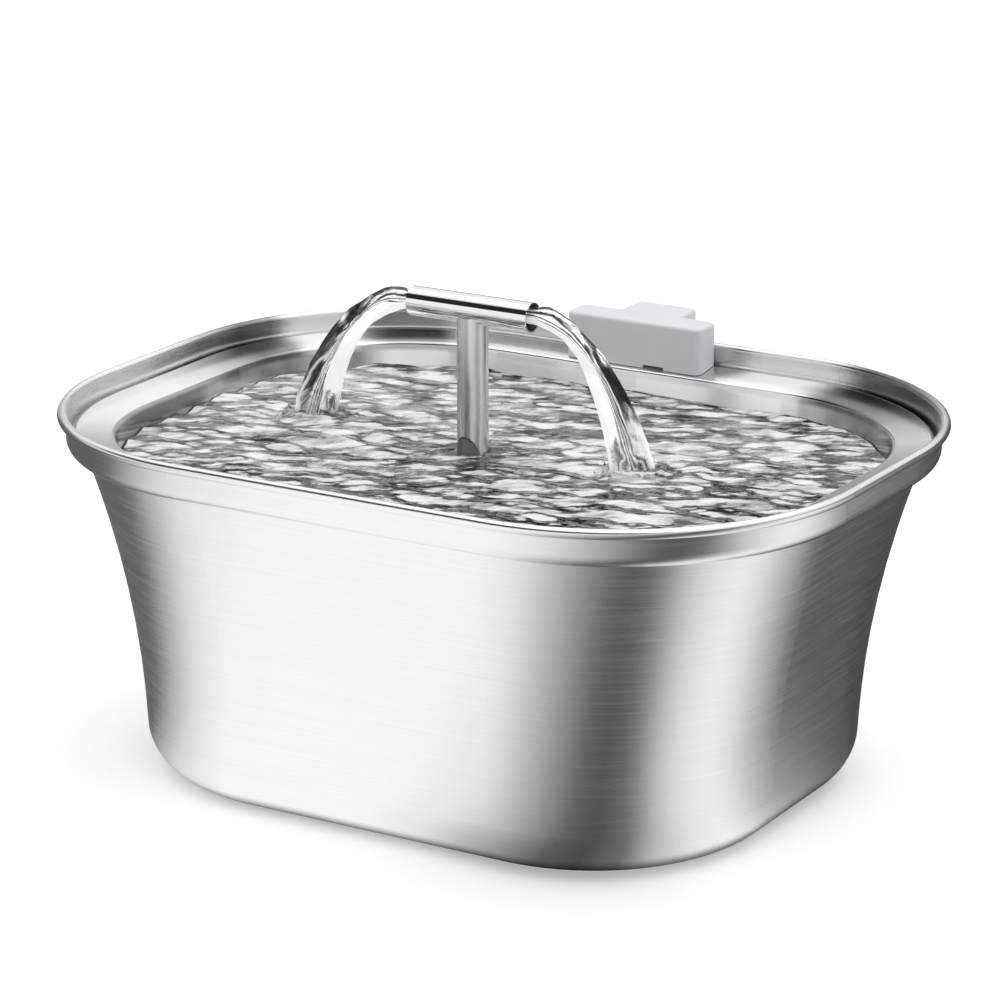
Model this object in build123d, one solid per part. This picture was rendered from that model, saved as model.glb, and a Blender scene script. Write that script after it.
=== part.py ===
from build123d import *
from math import sqrt
import os

# Pet water fountain: a flared steel tank with a rolled rim, a dished steel tray that hangs on
# the tank's shoulder, a T-shaped steel faucet, a cord clip on the rim, and a filter box with a
# submersible pump on the tank's floor.
#
# Frame: millimetres, +X along the long side, +Y to the side with the cord clip, +Z up.
# The origin is the centre of the tank's flat base, on the surface that the fountain stands on.

# ---------------------------------------------------------------- clearances
SEAT_GAP = 0.3          # between a lift-off piece and what it stands on
SLIP_FIT = 0.1          # radial play of a plug-in fit
RUNNING_FIT = 0.08      # radial play of the rotor on its shaft
SNUG_FIT = 0.05         # radial play of a piece that stays in its seat

# ---------------------------------------------------------------- steel tank
SHEET = 0.8             # steel sheet of the tank and the tray
RIM_LENGTH = 340.0      # over the rolled rim, along X
RIM_WIDTH = 267.0       # over the rolled rim, along Y
RIM_CORNER = 102.0      # corner radius of the rim, seen from above
RIM_HEIGHT = 150.0      # top of the rim
BEAD_DIAMETER = 4.1     # rolled edge, over its outside
BEAD_TURN = 285.0       # degrees that the sheet is rolled through
SKIRT_HEIGHT = 16.0     # from the top of the rim to the crease under the skirt
SHOULDER_RADIUS = 4.7   # outside bend between the skirt and the shoulder
SHOULDER_STEP = 0.3     # flat of the shoulder between its bend and the body
BASE_INSET = 26.1       # how far the base lies inside the rim on the long sides
END_FLARE = 1.28        # the ends flare this much more than the long sides
CORNER_FLARE = 0.89     # corner radius lost for each millimetre of inset
FLARE_POWER = 2.1       # 1 would be a straight cone, more bends it outwards near the top
BASE_FILLET = 21.0      # outside radius between the wall and the base
FLARE_SECTIONS = 5      # outlines that the flared wall is drawn through

# ---------------------------------------------------------------- steel tray
TRAY_EDGE_GAP = 1.7     # between the skirt's inside and the tray's hem
TRAY_DROP = 8.5         # from the top of the rim to the ledge's outer edge
LEDGE_WIDTH = 16.6      # sloping ledge round the dish
LEDGE_FALL = 2.2        # fall of the ledge towards the dish
DISH_DEPTH = 16.3       # from the ledge's inner edge to the dish's floor
DISH_LEAN = 3.2         # how far the dish's wall leans in over its depth
EDGE_BEND = 1.6         # bend radius at both edges of the ledge
DISH_BEND = 6.0         # bend radius between the dish's wall and floor
OVERFLOW_COUNT = 7      # slots that set the water level
OVERFLOW_PITCH = 16.0
OVERFLOW_LENGTH = 11.0
OVERFLOW_HEIGHT = 3.0
OVERFLOW_DROP = 9.4     # from the ledge's inner edge to the slots' lower edge
CORD_NOTCH_WIDTH = 9.0  # notch for the cord in the tray's edge, under the clip
CORD_NOTCH_DEPTH = 8.0

# ---------------------------------------------------------------- faucet
FAUCET_X = -13.5        # the faucet stands a little off the middle
FAUCET_RISE = 65.3      # from the dish's floor to the cross tube's axis
RISER_DIAMETER = 12.6
CROSS_DIAMETER = 12.0
CROSS_LENGTH = 55.0
CROSS_HOLE = 8.8        # diameter of the cross tube's inlet over the riser
TUBE_WALL = 0.8
SADDLE_DROP = 2.7       # the riser's saddle ends this far below the cross tube's axis
ADAPTER_BORE = 7.0
COLLAR_DIAMETER = 14.4  # foot of the adapter's flared collar
COLLAR_HEIGHT = 3.1
SLEEVE_HEIGHT = 17.0    # of the adapter's sleeve inside the riser
TONGUE_WIDTH = 10.8     # arch-shaped tongue that keys the riser
TONGUE_HEIGHT = 9.0
TONGUE_PROUD = 0.2
NOTCH_PLAY = 0.15       # beside the tongue
NOTCH_HEADROOM = 0.9    # above the tongue
SEAL_SECTION = 1.1      # O-ring's section
SEAL_LIFT = 13.0        # from the collar to the O-ring
SPIGOT_LENGTH = 22.0    # of the adapter below the dish's floor
GROMMET_LIP = 1.0       # thickness of each lip of the tray's grommet
GROMMET_WALL = 2.4      # between the adapter and the hole in the tray
GROMMET_REACH = 2.2     # how far the lips reach past the hole

# ---------------------------------------------------------------- cord clip
CLIP_X = -3.7
CLIP_TOP = 9.8          # above the rim
BAR_LENGTH = 64.0       # front bar, on the tray's ledge
BAR_DEPTH = 15.6
BAR_CORNER = 3.5
STUB_WIDTH = 28.0       # rear stub, over the rim
STUB_REACH = 12.0       # past the rim
STUB_CORNER = 2.5
LEG_DROP = 10.0         # below the top of the rim, outside the tank
CLIP_PLAY = 0.5         # beside and above the rim's bead
CLIP_EDGE = 1.6         # rounding of the top edges
RELIEF_WIDTH = 10.0     # finger gap under the bar's front
RELIEF_HEIGHT = 2.0     # above the ledge's inner edge
RELIEF_OFFSET = 10.0    # to the right of the bar's middle
CORD_CHANNEL = 5.0      # width of the cord's channel
CORD_CHANNEL_RISE = 5.4 # of the channel above the rim

# ---------------------------------------------------------------- pump
PUMP_WIDTH = 38.0
PUMP_HEIGHT = 47.0
PUMP_SHOULDER = 12.0    # radius of the body's upper corners
PUMP_FOOT = 3.5         # radius of the body's lower corners
ROTOR_LIFT = 27.5       # from the pump's underside to the rotor's axis
STRAINER_LENGTH = 4.0
STRAINER_PLATE = 1.8
STRAINER_WALL = 2.0
STRAINER_SLOT = 2.4
STRAINER_SLOT_HEIGHT = 26.0
STRAINER_SLOT_DROP = 3.2
STRAINER_SLOT_OFFSETS = (-14.6, -10.8, 10.8, 14.6)
CHAMBER_LENGTH = 14.0
CHAMBER_RADIUS = 14.0
CHAMBER_FRONT = 2.5     # thickness of the chamber's front wall
INLET_INNER = 3.6       # kidney-shaped inlets: inner and outer radius
INLET_OUTER = 7.4
INLET_SPAN = 110.0      # degrees that each of the two inlets covers
NOZZLE_DIAMETER = 12.0
NOZZLE_BORE = 8.0
NOZZLE_HEIGHT = 12.0
MOTOR_LENGTH = 34.0
MOTOR_WALL = 2.5
MOTOR_FRONT = 5.0       # front wall of the motor's casing
MOTOR_EDGE = 2.0
WELL_WALL = 1.5         # wall between the rotor and the stator
WELL_DEPTH = 27.0
ROTOR_AIR_GAP = 0.6
SEAL_RING_RADIUS = 16.2 # mean radius of the seal between chamber and motor
SEAL_RING_SECTION = 1.4
SHAFT_DIAMETER = 2.3
BUSH_WALL = 0.9
BUSH_LENGTH = 2.0
VANE_COUNT = 6
VANE_RADIUS = 12.4
VANE_WIDTH = 7.4
VANE_THICKNESS = 1.3
HUB_RADIUS = 4.2
MAGNET_BORE = 6.4
MAGNET_WALL = 5.0
MAGNET_LENGTH = 23.0
CORE_LENGTH = 20.0      # stator laminations, along the rotor's axis
POLE_WIDTH = 4.8
POLE_RISE = 6.0         # the poles end this far above the rotor's axis
YOKE_HEIGHT = 6.4
COIL_BUILD = 2.2        # winding over the yoke
POTTING_LENGTH = 3.5
GLAND_RADIUS = 3.5
GLAND_LENGTH = 6.5
GLAND_FLARE = 1.0       # wider at the pump than at the cord
GLAND_BORE = 3.8
GLAND_Y = 8.0
DIAL_RADIUS = 8.4
DIAL_THICKNESS = 1.2
DIAL_STEM = 2.4
KNOB_RADIUS = 5.2
KNOB_LENGTH = 2.2
KNOB_RIDGE = 1.6
HOSE_WALL = 2.1
HOSE_OVERLAP = 9.0      # of the adapter's spigot in the hose

# ---------------------------------------------------------------- filter box
BOX_WALL = 2.0
BOX_WIDTH = 84.0        # along Y, outside
BOX_HEIGHT = 64.0
BOX_CORNER = 9.0
BOX_EDGE = 3.0
CUP_HEIGHT = 5.0        # suction cups under the box
CUP_RADIUS = 8.0
CUP_LIP = 0.8           # height of the bell's outer edge
CUP_WALL = 1.7
CUP_NECK = 2.5
CUP_HEAD = 4.0
CUP_HEAD_HEIGHT = 2.2
EAR_WIDTH = 17.0        # ears that carry the cups
EAR_REACH = 15.0
EAR_CORNER = 4.2
EAR_THICKNESS = 2.4
EAR_SETBACK = 13.0      # from the box's ends to the ears' middles
FILTER_GAP = 0.5        # around the cartridge and the foam
FOAM_LENGTH = 14.0
FOAM_CORNER = 2.0
CARTRIDGE_LENGTH = 12.0
CARTRIDGE_BORDER = 6.0
GRILLE_BAR = 1.6
GRILLE_BARS = 5
PULL_TAB_WIDTH = 22.0
PULL_TAB_THICKNESS = 3.0
GUIDE_RIB = 1.6         # ribs between the cartridge and the foam
GUIDE_RIB_DEPTH = 4.0
REAR_ROOM = 9.0         # behind the pump, for the gland
CRADLE_HEIGHT = 6.0     # rails beside the pump
CRADLE_THICKNESS = 2.0
INTAKE_COUNT = 8
INTAKE_PITCH = 8.6
INTAKE_WIDTH = 3.6
INTAKE_HEIGHT = 40.0
LID_THICKNESS = 2.4
LID_RIM_HEIGHT = 3.0
LID_RIM_WALL = 1.5
LID_PLAY = 0.4
LID_COLLAR_HEIGHT = 8.0
LID_COLLAR_WALL = 2.0
LID_TAB_REACH = 7.0
LID_TAB_WIDTH = 24.0
LID_EDGE = 1.0
BOX_NOTCH_WIDTH = 6.5   # for the cord, in the box's rear wall and the lid
BOX_NOTCH_DEPTH = 14.0

# ---------------------------------------------------------------- levels and places
BODY_HEIGHT = RIM_HEIGHT - SKIRT_HEIGHT
SKIRT_INSET = BEAD_DIAMETER - SHEET
SHOULDER_CENTRE = SKIRT_INSET + SHOULDER_RADIUS
SHOULDER_INSET = SHOULDER_CENTRE + SHOULDER_STEP
BEAD_Z = RIM_HEIGHT - BEAD_DIAMETER / 2

TRAY_INSET = BEAD_DIAMETER + TRAY_EDGE_GAP
LEDGE_Z = RIM_HEIGHT - TRAY_DROP
DISH_EDGE_INSET = TRAY_INSET + LEDGE_WIDTH
DISH_EDGE_Z = LEDGE_Z - LEDGE_FALL
DISH_FLOOR_INSET = DISH_EDGE_INSET + DISH_LEAN
DISH_FLOOR_Z = DISH_EDGE_Z - DISH_DEPTH

CROSS_Z = DISH_FLOOR_Z + FAUCET_RISE
COLLAR_Z = DISH_FLOOR_Z + GROMMET_LIP + SEAT_GAP
RISER_Z = COLLAR_Z + COLLAR_HEIGHT
SPIGOT_Z = DISH_FLOOR_Z - SPIGOT_LENGTH
HOSE_BORE = NOZZLE_DIAMETER + 2 * SNUG_FIT
HOSE_DIAMETER = HOSE_BORE + 2 * HOSE_WALL
SPIGOT_DIAMETER = HOSE_BORE - 2 * SLIP_FIT
SLEEVE_RADIUS = RISER_DIAMETER / 2 - TUBE_WALL - SNUG_FIT
GROMMET_BORE_RADIUS = SPIGOT_DIAMETER / 2 + SLIP_FIT
TRAY_HOLE_RADIUS = GROMMET_BORE_RADIUS + GROMMET_WALL

BOX_Z = SHEET + SEAT_GAP + CUP_HEIGHT
BOX_FLOOR_Z = BOX_Z + BOX_WALL
BOX_TOP_Z = BOX_Z + BOX_HEIGHT
PUMP_Z = BOX_FLOOR_Z + SEAT_GAP
ROTOR_Z = PUMP_Z + ROTOR_LIFT
PUMP_TOP_Z = PUMP_Z + PUMP_HEIGHT
LID_Z = BOX_TOP_Z + SEAT_GAP
HOSE_Z = PUMP_TOP_Z + SEAT_GAP
HOSE_TOP_Z = SPIGOT_Z + HOSE_OVERLAP

# Stations along X, measured from the faucet's axis, which is the middle of the pump's chamber.
CHAMBER_START = -CHAMBER_LENGTH / 2
STRAINER_START = CHAMBER_START - STRAINER_LENGTH
KNOB_START = STRAINER_START - SEAT_GAP - KNOB_LENGTH
FOAM_START = KNOB_START - FILTER_GAP - FOAM_LENGTH
GUIDE_START = FOAM_START - FILTER_GAP - GUIDE_RIB
CARTRIDGE_START = GUIDE_START - FILTER_GAP - CARTRIDGE_LENGTH
BOX_START = CARTRIDGE_START - FILTER_GAP - BOX_WALL
MOTOR_START = CHAMBER_LENGTH / 2
MOTOR_END = MOTOR_START + MOTOR_LENGTH
BOX_END = MOTOR_END + REAR_ROOM + BOX_WALL
BOX_LENGTH = BOX_END - BOX_START
BOX_MIDDLE = (BOX_START + BOX_END) / 2
WELL_END = MOTOR_START + WELL_DEPTH
WELL_RADIUS = MAGNET_BORE / 2 + MAGNET_WALL + ROTOR_AIR_GAP


# ---------------------------------------------------------------- shared shapes
def rim_outline(inset):
    """Rounded rectangle that lies inset inside the rim's outer edge."""
    return RectangleRounded(RIM_LENGTH - 2 * inset, RIM_WIDTH - 2 * inset, RIM_CORNER - inset)


def body_outline(height, wall):
    """Outline of the flared body at a height, moved in by a wall thickness."""
    share = height / BODY_HEIGHT
    inset = SHOULDER_INSET + (BASE_INSET - SHOULDER_INSET) * (1 - share**FLARE_POWER)
    length = RIM_LENGTH - 2 * (END_FLARE * inset + wall)
    width = RIM_WIDTH - 2 * (inset + wall)
    return Pos(0, 0, height) * RectangleRounded(length, width, RIM_CORNER - CORNER_FLARE * inset - wall)


def run_round(profile):
    """Sweeps a profile, drawn as (inset from the rim's edge, height), all round the tank."""
    path = rim_outline(BEAD_DIAMETER).face().outer_wire()
    start, along = path @ 0, path % 0
    plane = Plane(origin=start, x_dir=Vector(0, 0, 1).cross(along), z_dir=along)
    return sweep(plane * Pos(-BEAD_DIAMETER, 0) * profile, path=path)


def bent_sheet(points, radii, side):
    """Section of a sheet that lies on one side of a line with rounded corners."""
    face_line = FilletPolyline(*points, radius=radii)
    return make_face(Wire(face_line.edges()).offset_2d(SHEET, side=side, closed=True).edges())


def upright(radius, low, high, x=FAUCET_X, y=0.0):
    """Vertical cylinder between two heights."""
    return Pos(x, y, low) * extrude(Circle(radius), high - low)


def upright_tube(outer, inner, low, high, x=FAUCET_X, y=0.0):
    """Vertical tube between two heights."""
    return Pos(x, y, low) * extrude(Circle(outer) - Circle(inner), high - low)


def along_x(section, start, end):
    """Extrudes a section, drawn as (Y, Z), between two stations along X."""
    return extrude(Plane.YZ.offset(start) * section, end - start)


def block(x_range, y_range, z_range):
    """Plain box between three pairs of limits."""
    size = [high - low for low, high in (x_range, y_range, z_range)]
    corner = (x_range[0], y_range[0], z_range[0])
    return Pos(*corner) * Box(*size, align=(Align.MIN, Align.MIN, Align.MIN))


def arch(width, height):
    """Outline with a straight foot and a half-ellipse above it, drawn as (X, Z)."""
    ellipse = Ellipse(width / 2, height)
    return ellipse - Pos(0, -height / 2) * Rectangle(width, height)


# ---------------------------------------------------------------- tank and tray
def shoulder_height(inset):
    """Height of the shoulder's inside face at an inset from the rim's edge."""
    bend = SHOULDER_RADIUS - SHEET
    reach = min(max(SHOULDER_CENTRE - inset, 0), bend)
    return BODY_HEIGHT + SHEET + bend - sqrt(bend**2 - reach**2)


def rolled_bead():
    """Section of the rim's edge: the sheet rolled outwards into an open curl."""
    curl = Circle(BEAD_DIAMETER / 2) - Circle(BEAD_DIAMETER / 2 - SHEET)
    curl_end = Vector(BEAD_DIAMETER, 0).rotate(Axis.Z, BEAD_TURN)
    gap = Polyline((0, 0), curl_end, (BEAD_DIAMETER, -BEAD_DIAMETER), (BEAD_DIAMETER, 0), close=True)
    return Pos(BEAD_DIAMETER / 2, BEAD_Z) * (curl - make_face(gap))


def tank_skirt():
    """Shoulder, skirt and rolled rim, which run round above the body."""
    line = [(SHOULDER_INSET + SHEET, BODY_HEIGHT), (SKIRT_INSET, BODY_HEIGHT), (SKIRT_INSET, BEAD_Z)]
    section = bent_sheet(line, SHOULDER_RADIUS, Side.RIGHT) + rolled_bead()
    return run_round(section.face())


def tank_body():
    """Flared wall and flat base, as a skin less the hollow one sheet inside it."""
    skins = []
    for wall in (0.0, SHEET):
        steps = [wall + BODY_HEIGHT * step / (FLARE_SECTIONS - 1) for step in range(FLARE_SECTIONS)]
        skin = loft([body_outline(height, wall) for height in steps])
        skins.append(fillet(skin.edges().group_by(Axis.Z)[0], BASE_FILLET - wall))
    return skins[0] - skins[1]


def tank():
    """Flared body with the shoulder, skirt and rolled rim above it."""
    return tank_body() + tank_skirt()


def overflow_slots():
    """Row of slots through the dish's front wall that sets the water level."""
    middle = DISH_EDGE_Z - OVERFLOW_DROP + OVERFLOW_HEIGHT / 2
    wall_y = RIM_WIDTH / 2 - DISH_EDGE_INSET - DISH_LEAN / 2
    row = [place * SlotOverall(OVERFLOW_LENGTH, OVERFLOW_HEIGHT) for place in
           GridLocations(OVERFLOW_PITCH, 0, OVERFLOW_COUNT, 1)]
    slots = Plane.XZ.offset(wall_y - DISH_LEAN) * Pos(0, middle) * (Sketch() + row)
    return extrude(slots, 2 * DISH_LEAN)


def cord_notch():
    """Round-ended notch in the tray's edge and hem, under the clip."""
    edge_y = RIM_WIDTH / 2 - TRAY_INSET
    low = shoulder_height(TRAY_INSET) - SHEET
    notch = Rectangle(CORD_NOTCH_WIDTH, 2 * (CORD_NOTCH_DEPTH - CORD_NOTCH_WIDTH / 2))
    notch += Pos(0, -(CORD_NOTCH_DEPTH - CORD_NOTCH_WIDTH / 2)) * Circle(CORD_NOTCH_WIDTH / 2)
    return Pos(CLIP_X, edge_y, low) * extrude(notch, LEDGE_Z + SHEET - low)


def tray():
    """Hem, sloping ledge, dish wall and dish floor from one sheet."""
    floor_line_end = DISH_FLOOR_INSET + 2 * DISH_BEND
    line = [
        (floor_line_end, DISH_FLOOR_Z),
        (DISH_FLOOR_INSET, DISH_FLOOR_Z),
        (DISH_EDGE_INSET, DISH_EDGE_Z),
        (TRAY_INSET, LEDGE_Z),
        (TRAY_INSET, shoulder_height(TRAY_INSET) + SEAT_GAP),
    ]
    radii = [DISH_BEND, EDGE_BEND, EDGE_BEND]
    edge = run_round(bent_sheet(line, radii, Side.LEFT).face())
    floor = Pos(0, 0, DISH_FLOOR_Z - SHEET) * extrude(rim_outline(floor_line_end - DISH_BEND / 2), SHEET)
    hole = upright(TRAY_HOLE_RADIUS, DISH_FLOOR_Z - 2 * SHEET, DISH_FLOOR_Z + SHEET)
    return edge + floor - hole - overflow_slots() - cord_notch()


def tray_grommet():
    """Grooved ring that seals the adapter in the tray's hole."""
    low = DISH_FLOOR_Z - SHEET - GROMMET_LIP
    outer = TRAY_HOLE_RADIUS + GROMMET_REACH
    ring = upright_tube(outer, GROMMET_BORE_RADIUS, low, DISH_FLOOR_Z + GROMMET_LIP)
    groove = upright_tube(outer, TRAY_HOLE_RADIUS - SNUG_FIT, DISH_FLOOR_Z - SHEET, DISH_FLOOR_Z)
    return ring - groove


# ---------------------------------------------------------------- faucet
def tongue_prism(play, headroom):
    """Arch-shaped prism towards the front, from the collar's top upwards."""
    outline = arch(TONGUE_WIDTH + 2 * play, TONGUE_HEIGHT + headroom)
    return Pos(FAUCET_X, 0, RISER_Z) * extrude(Plane.XZ * outline, RISER_DIAMETER)


def riser_tube():
    """Upright tube with a saddle for the cross tube and an arched notch at its foot."""
    outer = RISER_DIAMETER / 2
    tube = upright_tube(outer, outer - TUBE_WALL, RISER_Z, CROSS_Z - SADDLE_DROP)
    cross = along_x(Pos(0, CROSS_Z) * Circle(CROSS_DIAMETER / 2), FAUCET_X - outer, FAUCET_X + outer)
    return tube - cross - tongue_prism(NOTCH_PLAY, NOTCH_HEADROOM)


def cross_tube():
    """Level tube, open at both ends, with a hole over the riser."""
    outer = CROSS_DIAMETER / 2
    section = Pos(0, CROSS_Z) * (Circle(outer) - Circle(outer - TUBE_WALL))
    tube = along_x(section, FAUCET_X - CROSS_LENGTH / 2, FAUCET_X + CROSS_LENGTH / 2)
    return tube - upright(CROSS_HOLE / 2, CROSS_Z - CROSS_DIAMETER, CROSS_Z)


def faucet_adapter():
    """Plastic foot: spigot for the hose, flared collar, sleeve in the riser and keying tongue."""
    spigot = upright(SPIGOT_DIAMETER / 2, SPIGOT_Z, COLLAR_Z)
    collar_foot, collar_top = COLLAR_DIAMETER / 2, RISER_DIAMETER / 2 + TONGUE_PROUD
    collar_middle = Pos(FAUCET_X, 0, COLLAR_Z + COLLAR_HEIGHT / 2)
    collar = collar_middle * Cone(collar_foot, collar_top, COLLAR_HEIGHT)
    sleeve = upright(SLEEVE_RADIUS, RISER_Z, RISER_Z + SLEEVE_HEIGHT)
    tongue = upright(collar_top, RISER_Z, RISER_Z + SLEEVE_HEIGHT) & tongue_prism(0, 0)
    bore = upright(ADAPTER_BORE / 2, SPIGOT_Z, RISER_Z + SLEEVE_HEIGHT)
    groove_floor = SLEEVE_RADIUS - SEAL_SECTION + SNUG_FIT
    groove_z = RISER_Z + SEAL_LIFT
    groove_top = groove_z + SEAL_SECTION + 2 * SNUG_FIT
    groove = upright_tube(RISER_DIAMETER, groove_floor, groove_z, groove_top)
    return spigot + collar + sleeve + tongue - bore - groove


def adapter_seal():
    """O-ring between the adapter's sleeve and the riser's bore."""
    mean = RISER_DIAMETER / 2 - TUBE_WALL - SEAL_SECTION / 2
    middle_z = RISER_Z + SEAL_LIFT + SNUG_FIT + SEAL_SECTION / 2
    return Pos(FAUCET_X, 0, middle_z) * Torus(mean, SEAL_SECTION / 2)


# ---------------------------------------------------------------- cord clip
def cord_clip():
    """T-shaped clip: the bar lies on the tray's ledge and the stub hooks over the rim."""
    rim_y = RIM_WIDTH / 2
    skirt_y = rim_y - BEAD_DIAMETER
    top = RIM_HEIGHT + CLIP_TOP
    bar_back = skirt_y - CLIP_PLAY
    bar_front = bar_back - BAR_DEPTH
    stub_back = rim_y + STUB_REACH
    bar = Pos(CLIP_X, (bar_front + bar_back) / 2) * RectangleRounded(BAR_LENGTH, BAR_DEPTH, BAR_CORNER)
    stub_front = (bar_front + bar_back) / 2
    stub = Pos(CLIP_X, (stub_front + stub_back) / 2) * RectangleRounded(
        STUB_WIDTH, stub_back - stub_front, STUB_CORNER
    )
    low = RIM_HEIGHT - 2 * LEG_DROP
    body = Pos(0, 0, low) * extrude(bar + stub, top - low)
    body = fillet(body.faces().sort_by(Axis.Z)[-1].edges(), CLIP_EDGE)

    bead_slot = block(
        (CLIP_X - BAR_LENGTH, CLIP_X + BAR_LENGTH),
        (bar_back, rim_y + CLIP_PLAY),
        (low, RIM_HEIGHT + CLIP_PLAY),
    )
    under_leg = block(
        (CLIP_X - BAR_LENGTH, CLIP_X + BAR_LENGTH), (bar_back, stub_back), (low, RIM_HEIGHT - LEG_DROP)
    )
    channel = block(
        (CLIP_X - CORD_CHANNEL / 2, CLIP_X + CORD_CHANNEL / 2),
        (bar_back - CORD_NOTCH_DEPTH, stub_back),
        (low, RIM_HEIGHT + CORD_CHANNEL_RISE),
    )
    return body - bead_slot - under_leg - channel - ledge_wedge(low) - bar_relief(bar_front)


def ledge_wedge(low):
    """Space under the clip's bar: everything below the sloping ledge and its seat gap."""
    rim_y = RIM_WIDTH / 2
    outer = (rim_y - TRAY_INSET, LEDGE_Z + SEAT_GAP)
    inner = (rim_y - DISH_EDGE_INSET, DISH_EDGE_Z + SEAT_GAP)
    section = Polyline(outer, (rim_y, outer[1]), (rim_y, low), (inner[0], low), inner, close=True)
    return along_x(make_face(section), CLIP_X - BAR_LENGTH, CLIP_X + BAR_LENGTH)


def bar_relief(bar_front):
    """Finger gap under the bar's front."""
    middle = CLIP_X + RELIEF_OFFSET
    return block(
        (middle - RELIEF_WIDTH / 2, middle + RELIEF_WIDTH / 2),
        (bar_front, bar_front + BAR_DEPTH / 2),
        (DISH_EDGE_Z, DISH_EDGE_Z + RELIEF_HEIGHT),
    )


# ---------------------------------------------------------------- filter box
def box_section(inset):
    """Outline of the filter box, moved in by inset."""
    length, width = BOX_LENGTH - 2 * inset, BOX_WIDTH - 2 * inset
    return Pos(FAUCET_X + BOX_MIDDLE, 0) * RectangleRounded(length, width, BOX_CORNER - inset)


def ear_places():
    """Places of the four suction cups, outside the box's long walls."""
    ends = (BOX_START + EAR_SETBACK, BOX_END - EAR_SETBACK)
    side = BOX_WIDTH / 2 + EAR_REACH / 2
    return [(FAUCET_X + x, y) for x in ends for y in (-side, side)]


def box_ears():
    """Four ears with holes for the suction cups' necks."""
    ears = Part()
    for x, y in ear_places():
        inward = -BOX_WALL / 2 if y > 0 else BOX_WALL / 2
        plate = Pos(x, y + inward, BOX_Z) * extrude(
            RectangleRounded(EAR_WIDTH, EAR_REACH + BOX_WALL, EAR_CORNER), EAR_THICKNESS
        )
        ears += plate - upright(CUP_NECK + SNUG_FIT, BOX_Z, BOX_Z + EAR_THICKNESS, x, y)
    return ears


def box_fittings():
    """Guide ribs between the cartridge and the foam, and the rails beside the pump."""
    fittings = Part()
    inside = BOX_WIDTH / 2 - BOX_WALL
    rail = PUMP_WIDTH / 2 + LID_PLAY
    rib_x = (FAUCET_X + GUIDE_START, FAUCET_X + GUIDE_START + GUIDE_RIB)
    rail_x = (FAUCET_X + MOTOR_START, FAUCET_X + MOTOR_END)
    rib_top = BOX_TOP_Z - LID_RIM_HEIGHT - BOX_WALL
    for side in (-1, 1):
        rib_y = sorted((side * (inside - GUIDE_RIB_DEPTH), side * (inside + BOX_WALL / 2)))
        rail_y = sorted((side * rail, side * (rail + CRADLE_THICKNESS)))
        fittings += block(rib_x, rib_y, (BOX_Z + BOX_WALL / 2, rib_top))
        fittings += block(rail_x, rail_y, (BOX_Z + BOX_WALL / 2, BOX_FLOOR_Z + CRADLE_HEIGHT))
    return fittings


def intake_slots():
    """Upright slots through the end wall in front of the cartridge."""
    middle = BOX_FLOOR_Z + CARTRIDGE_BORDER + INTAKE_HEIGHT / 2
    slot = Pos(0, middle) * Rot(0, 0, 90) * SlotOverall(INTAKE_HEIGHT, INTAKE_WIDTH)
    slots = Sketch() + [place * slot for place in GridLocations(INTAKE_PITCH, 0, INTAKE_COUNT, 1)]
    return along_x(slots, FAUCET_X + BOX_START - BOX_WALL, FAUCET_X + BOX_START + 2 * BOX_WALL)


def cord_gap(low, high):
    """Gap for the cord at the box's rear end."""
    return block(
        (FAUCET_X + BOX_END - 3 * BOX_WALL, FAUCET_X + BOX_END + BOX_WALL),
        (GLAND_Y - BOX_NOTCH_WIDTH / 2, GLAND_Y + BOX_NOTCH_WIDTH / 2),
        (low, high),
    )


def filter_box():
    """Open box with intake slots, ears for the cups, guide ribs and the pump's rails."""
    shell = Pos(0, 0, BOX_Z) * extrude(box_section(0), BOX_HEIGHT)
    shell = fillet(shell.faces().sort_by(Axis.Z)[0].edges(), BOX_EDGE)
    hollow = Pos(0, 0, BOX_FLOOR_Z) * extrude(box_section(BOX_WALL), BOX_HEIGHT)
    shell = shell + box_ears() - hollow
    return shell + box_fittings() - intake_slots() - cord_gap(BOX_TOP_Z - BOX_NOTCH_DEPTH, BOX_TOP_Z)


def suction_cups():
    """Four cups: a hollow bell below each ear, a neck through it and a head above."""
    low = SHEET + SEAT_GAP
    bell_top = BOX_Z
    head_z = BOX_Z + EAR_THICKNESS
    outline = [
        (0, bell_top - CUP_WALL),
        (CUP_RADIUS - CUP_WALL, low),
        (CUP_RADIUS, low),
        (CUP_RADIUS, low + CUP_LIP),
        (CUP_HEAD, bell_top),
        (CUP_NECK, bell_top),
        (CUP_NECK, head_z),
        (CUP_HEAD, head_z),
        (CUP_NECK, head_z + CUP_HEAD_HEIGHT),
        (0, head_z + CUP_HEAD_HEIGHT),
    ]
    cup = revolve(Plane.XZ * make_face(Polyline(*outline, close=True)), Axis.Z)
    return Part() + [Pos(x, y) * cup for x, y in ear_places()]


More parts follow.
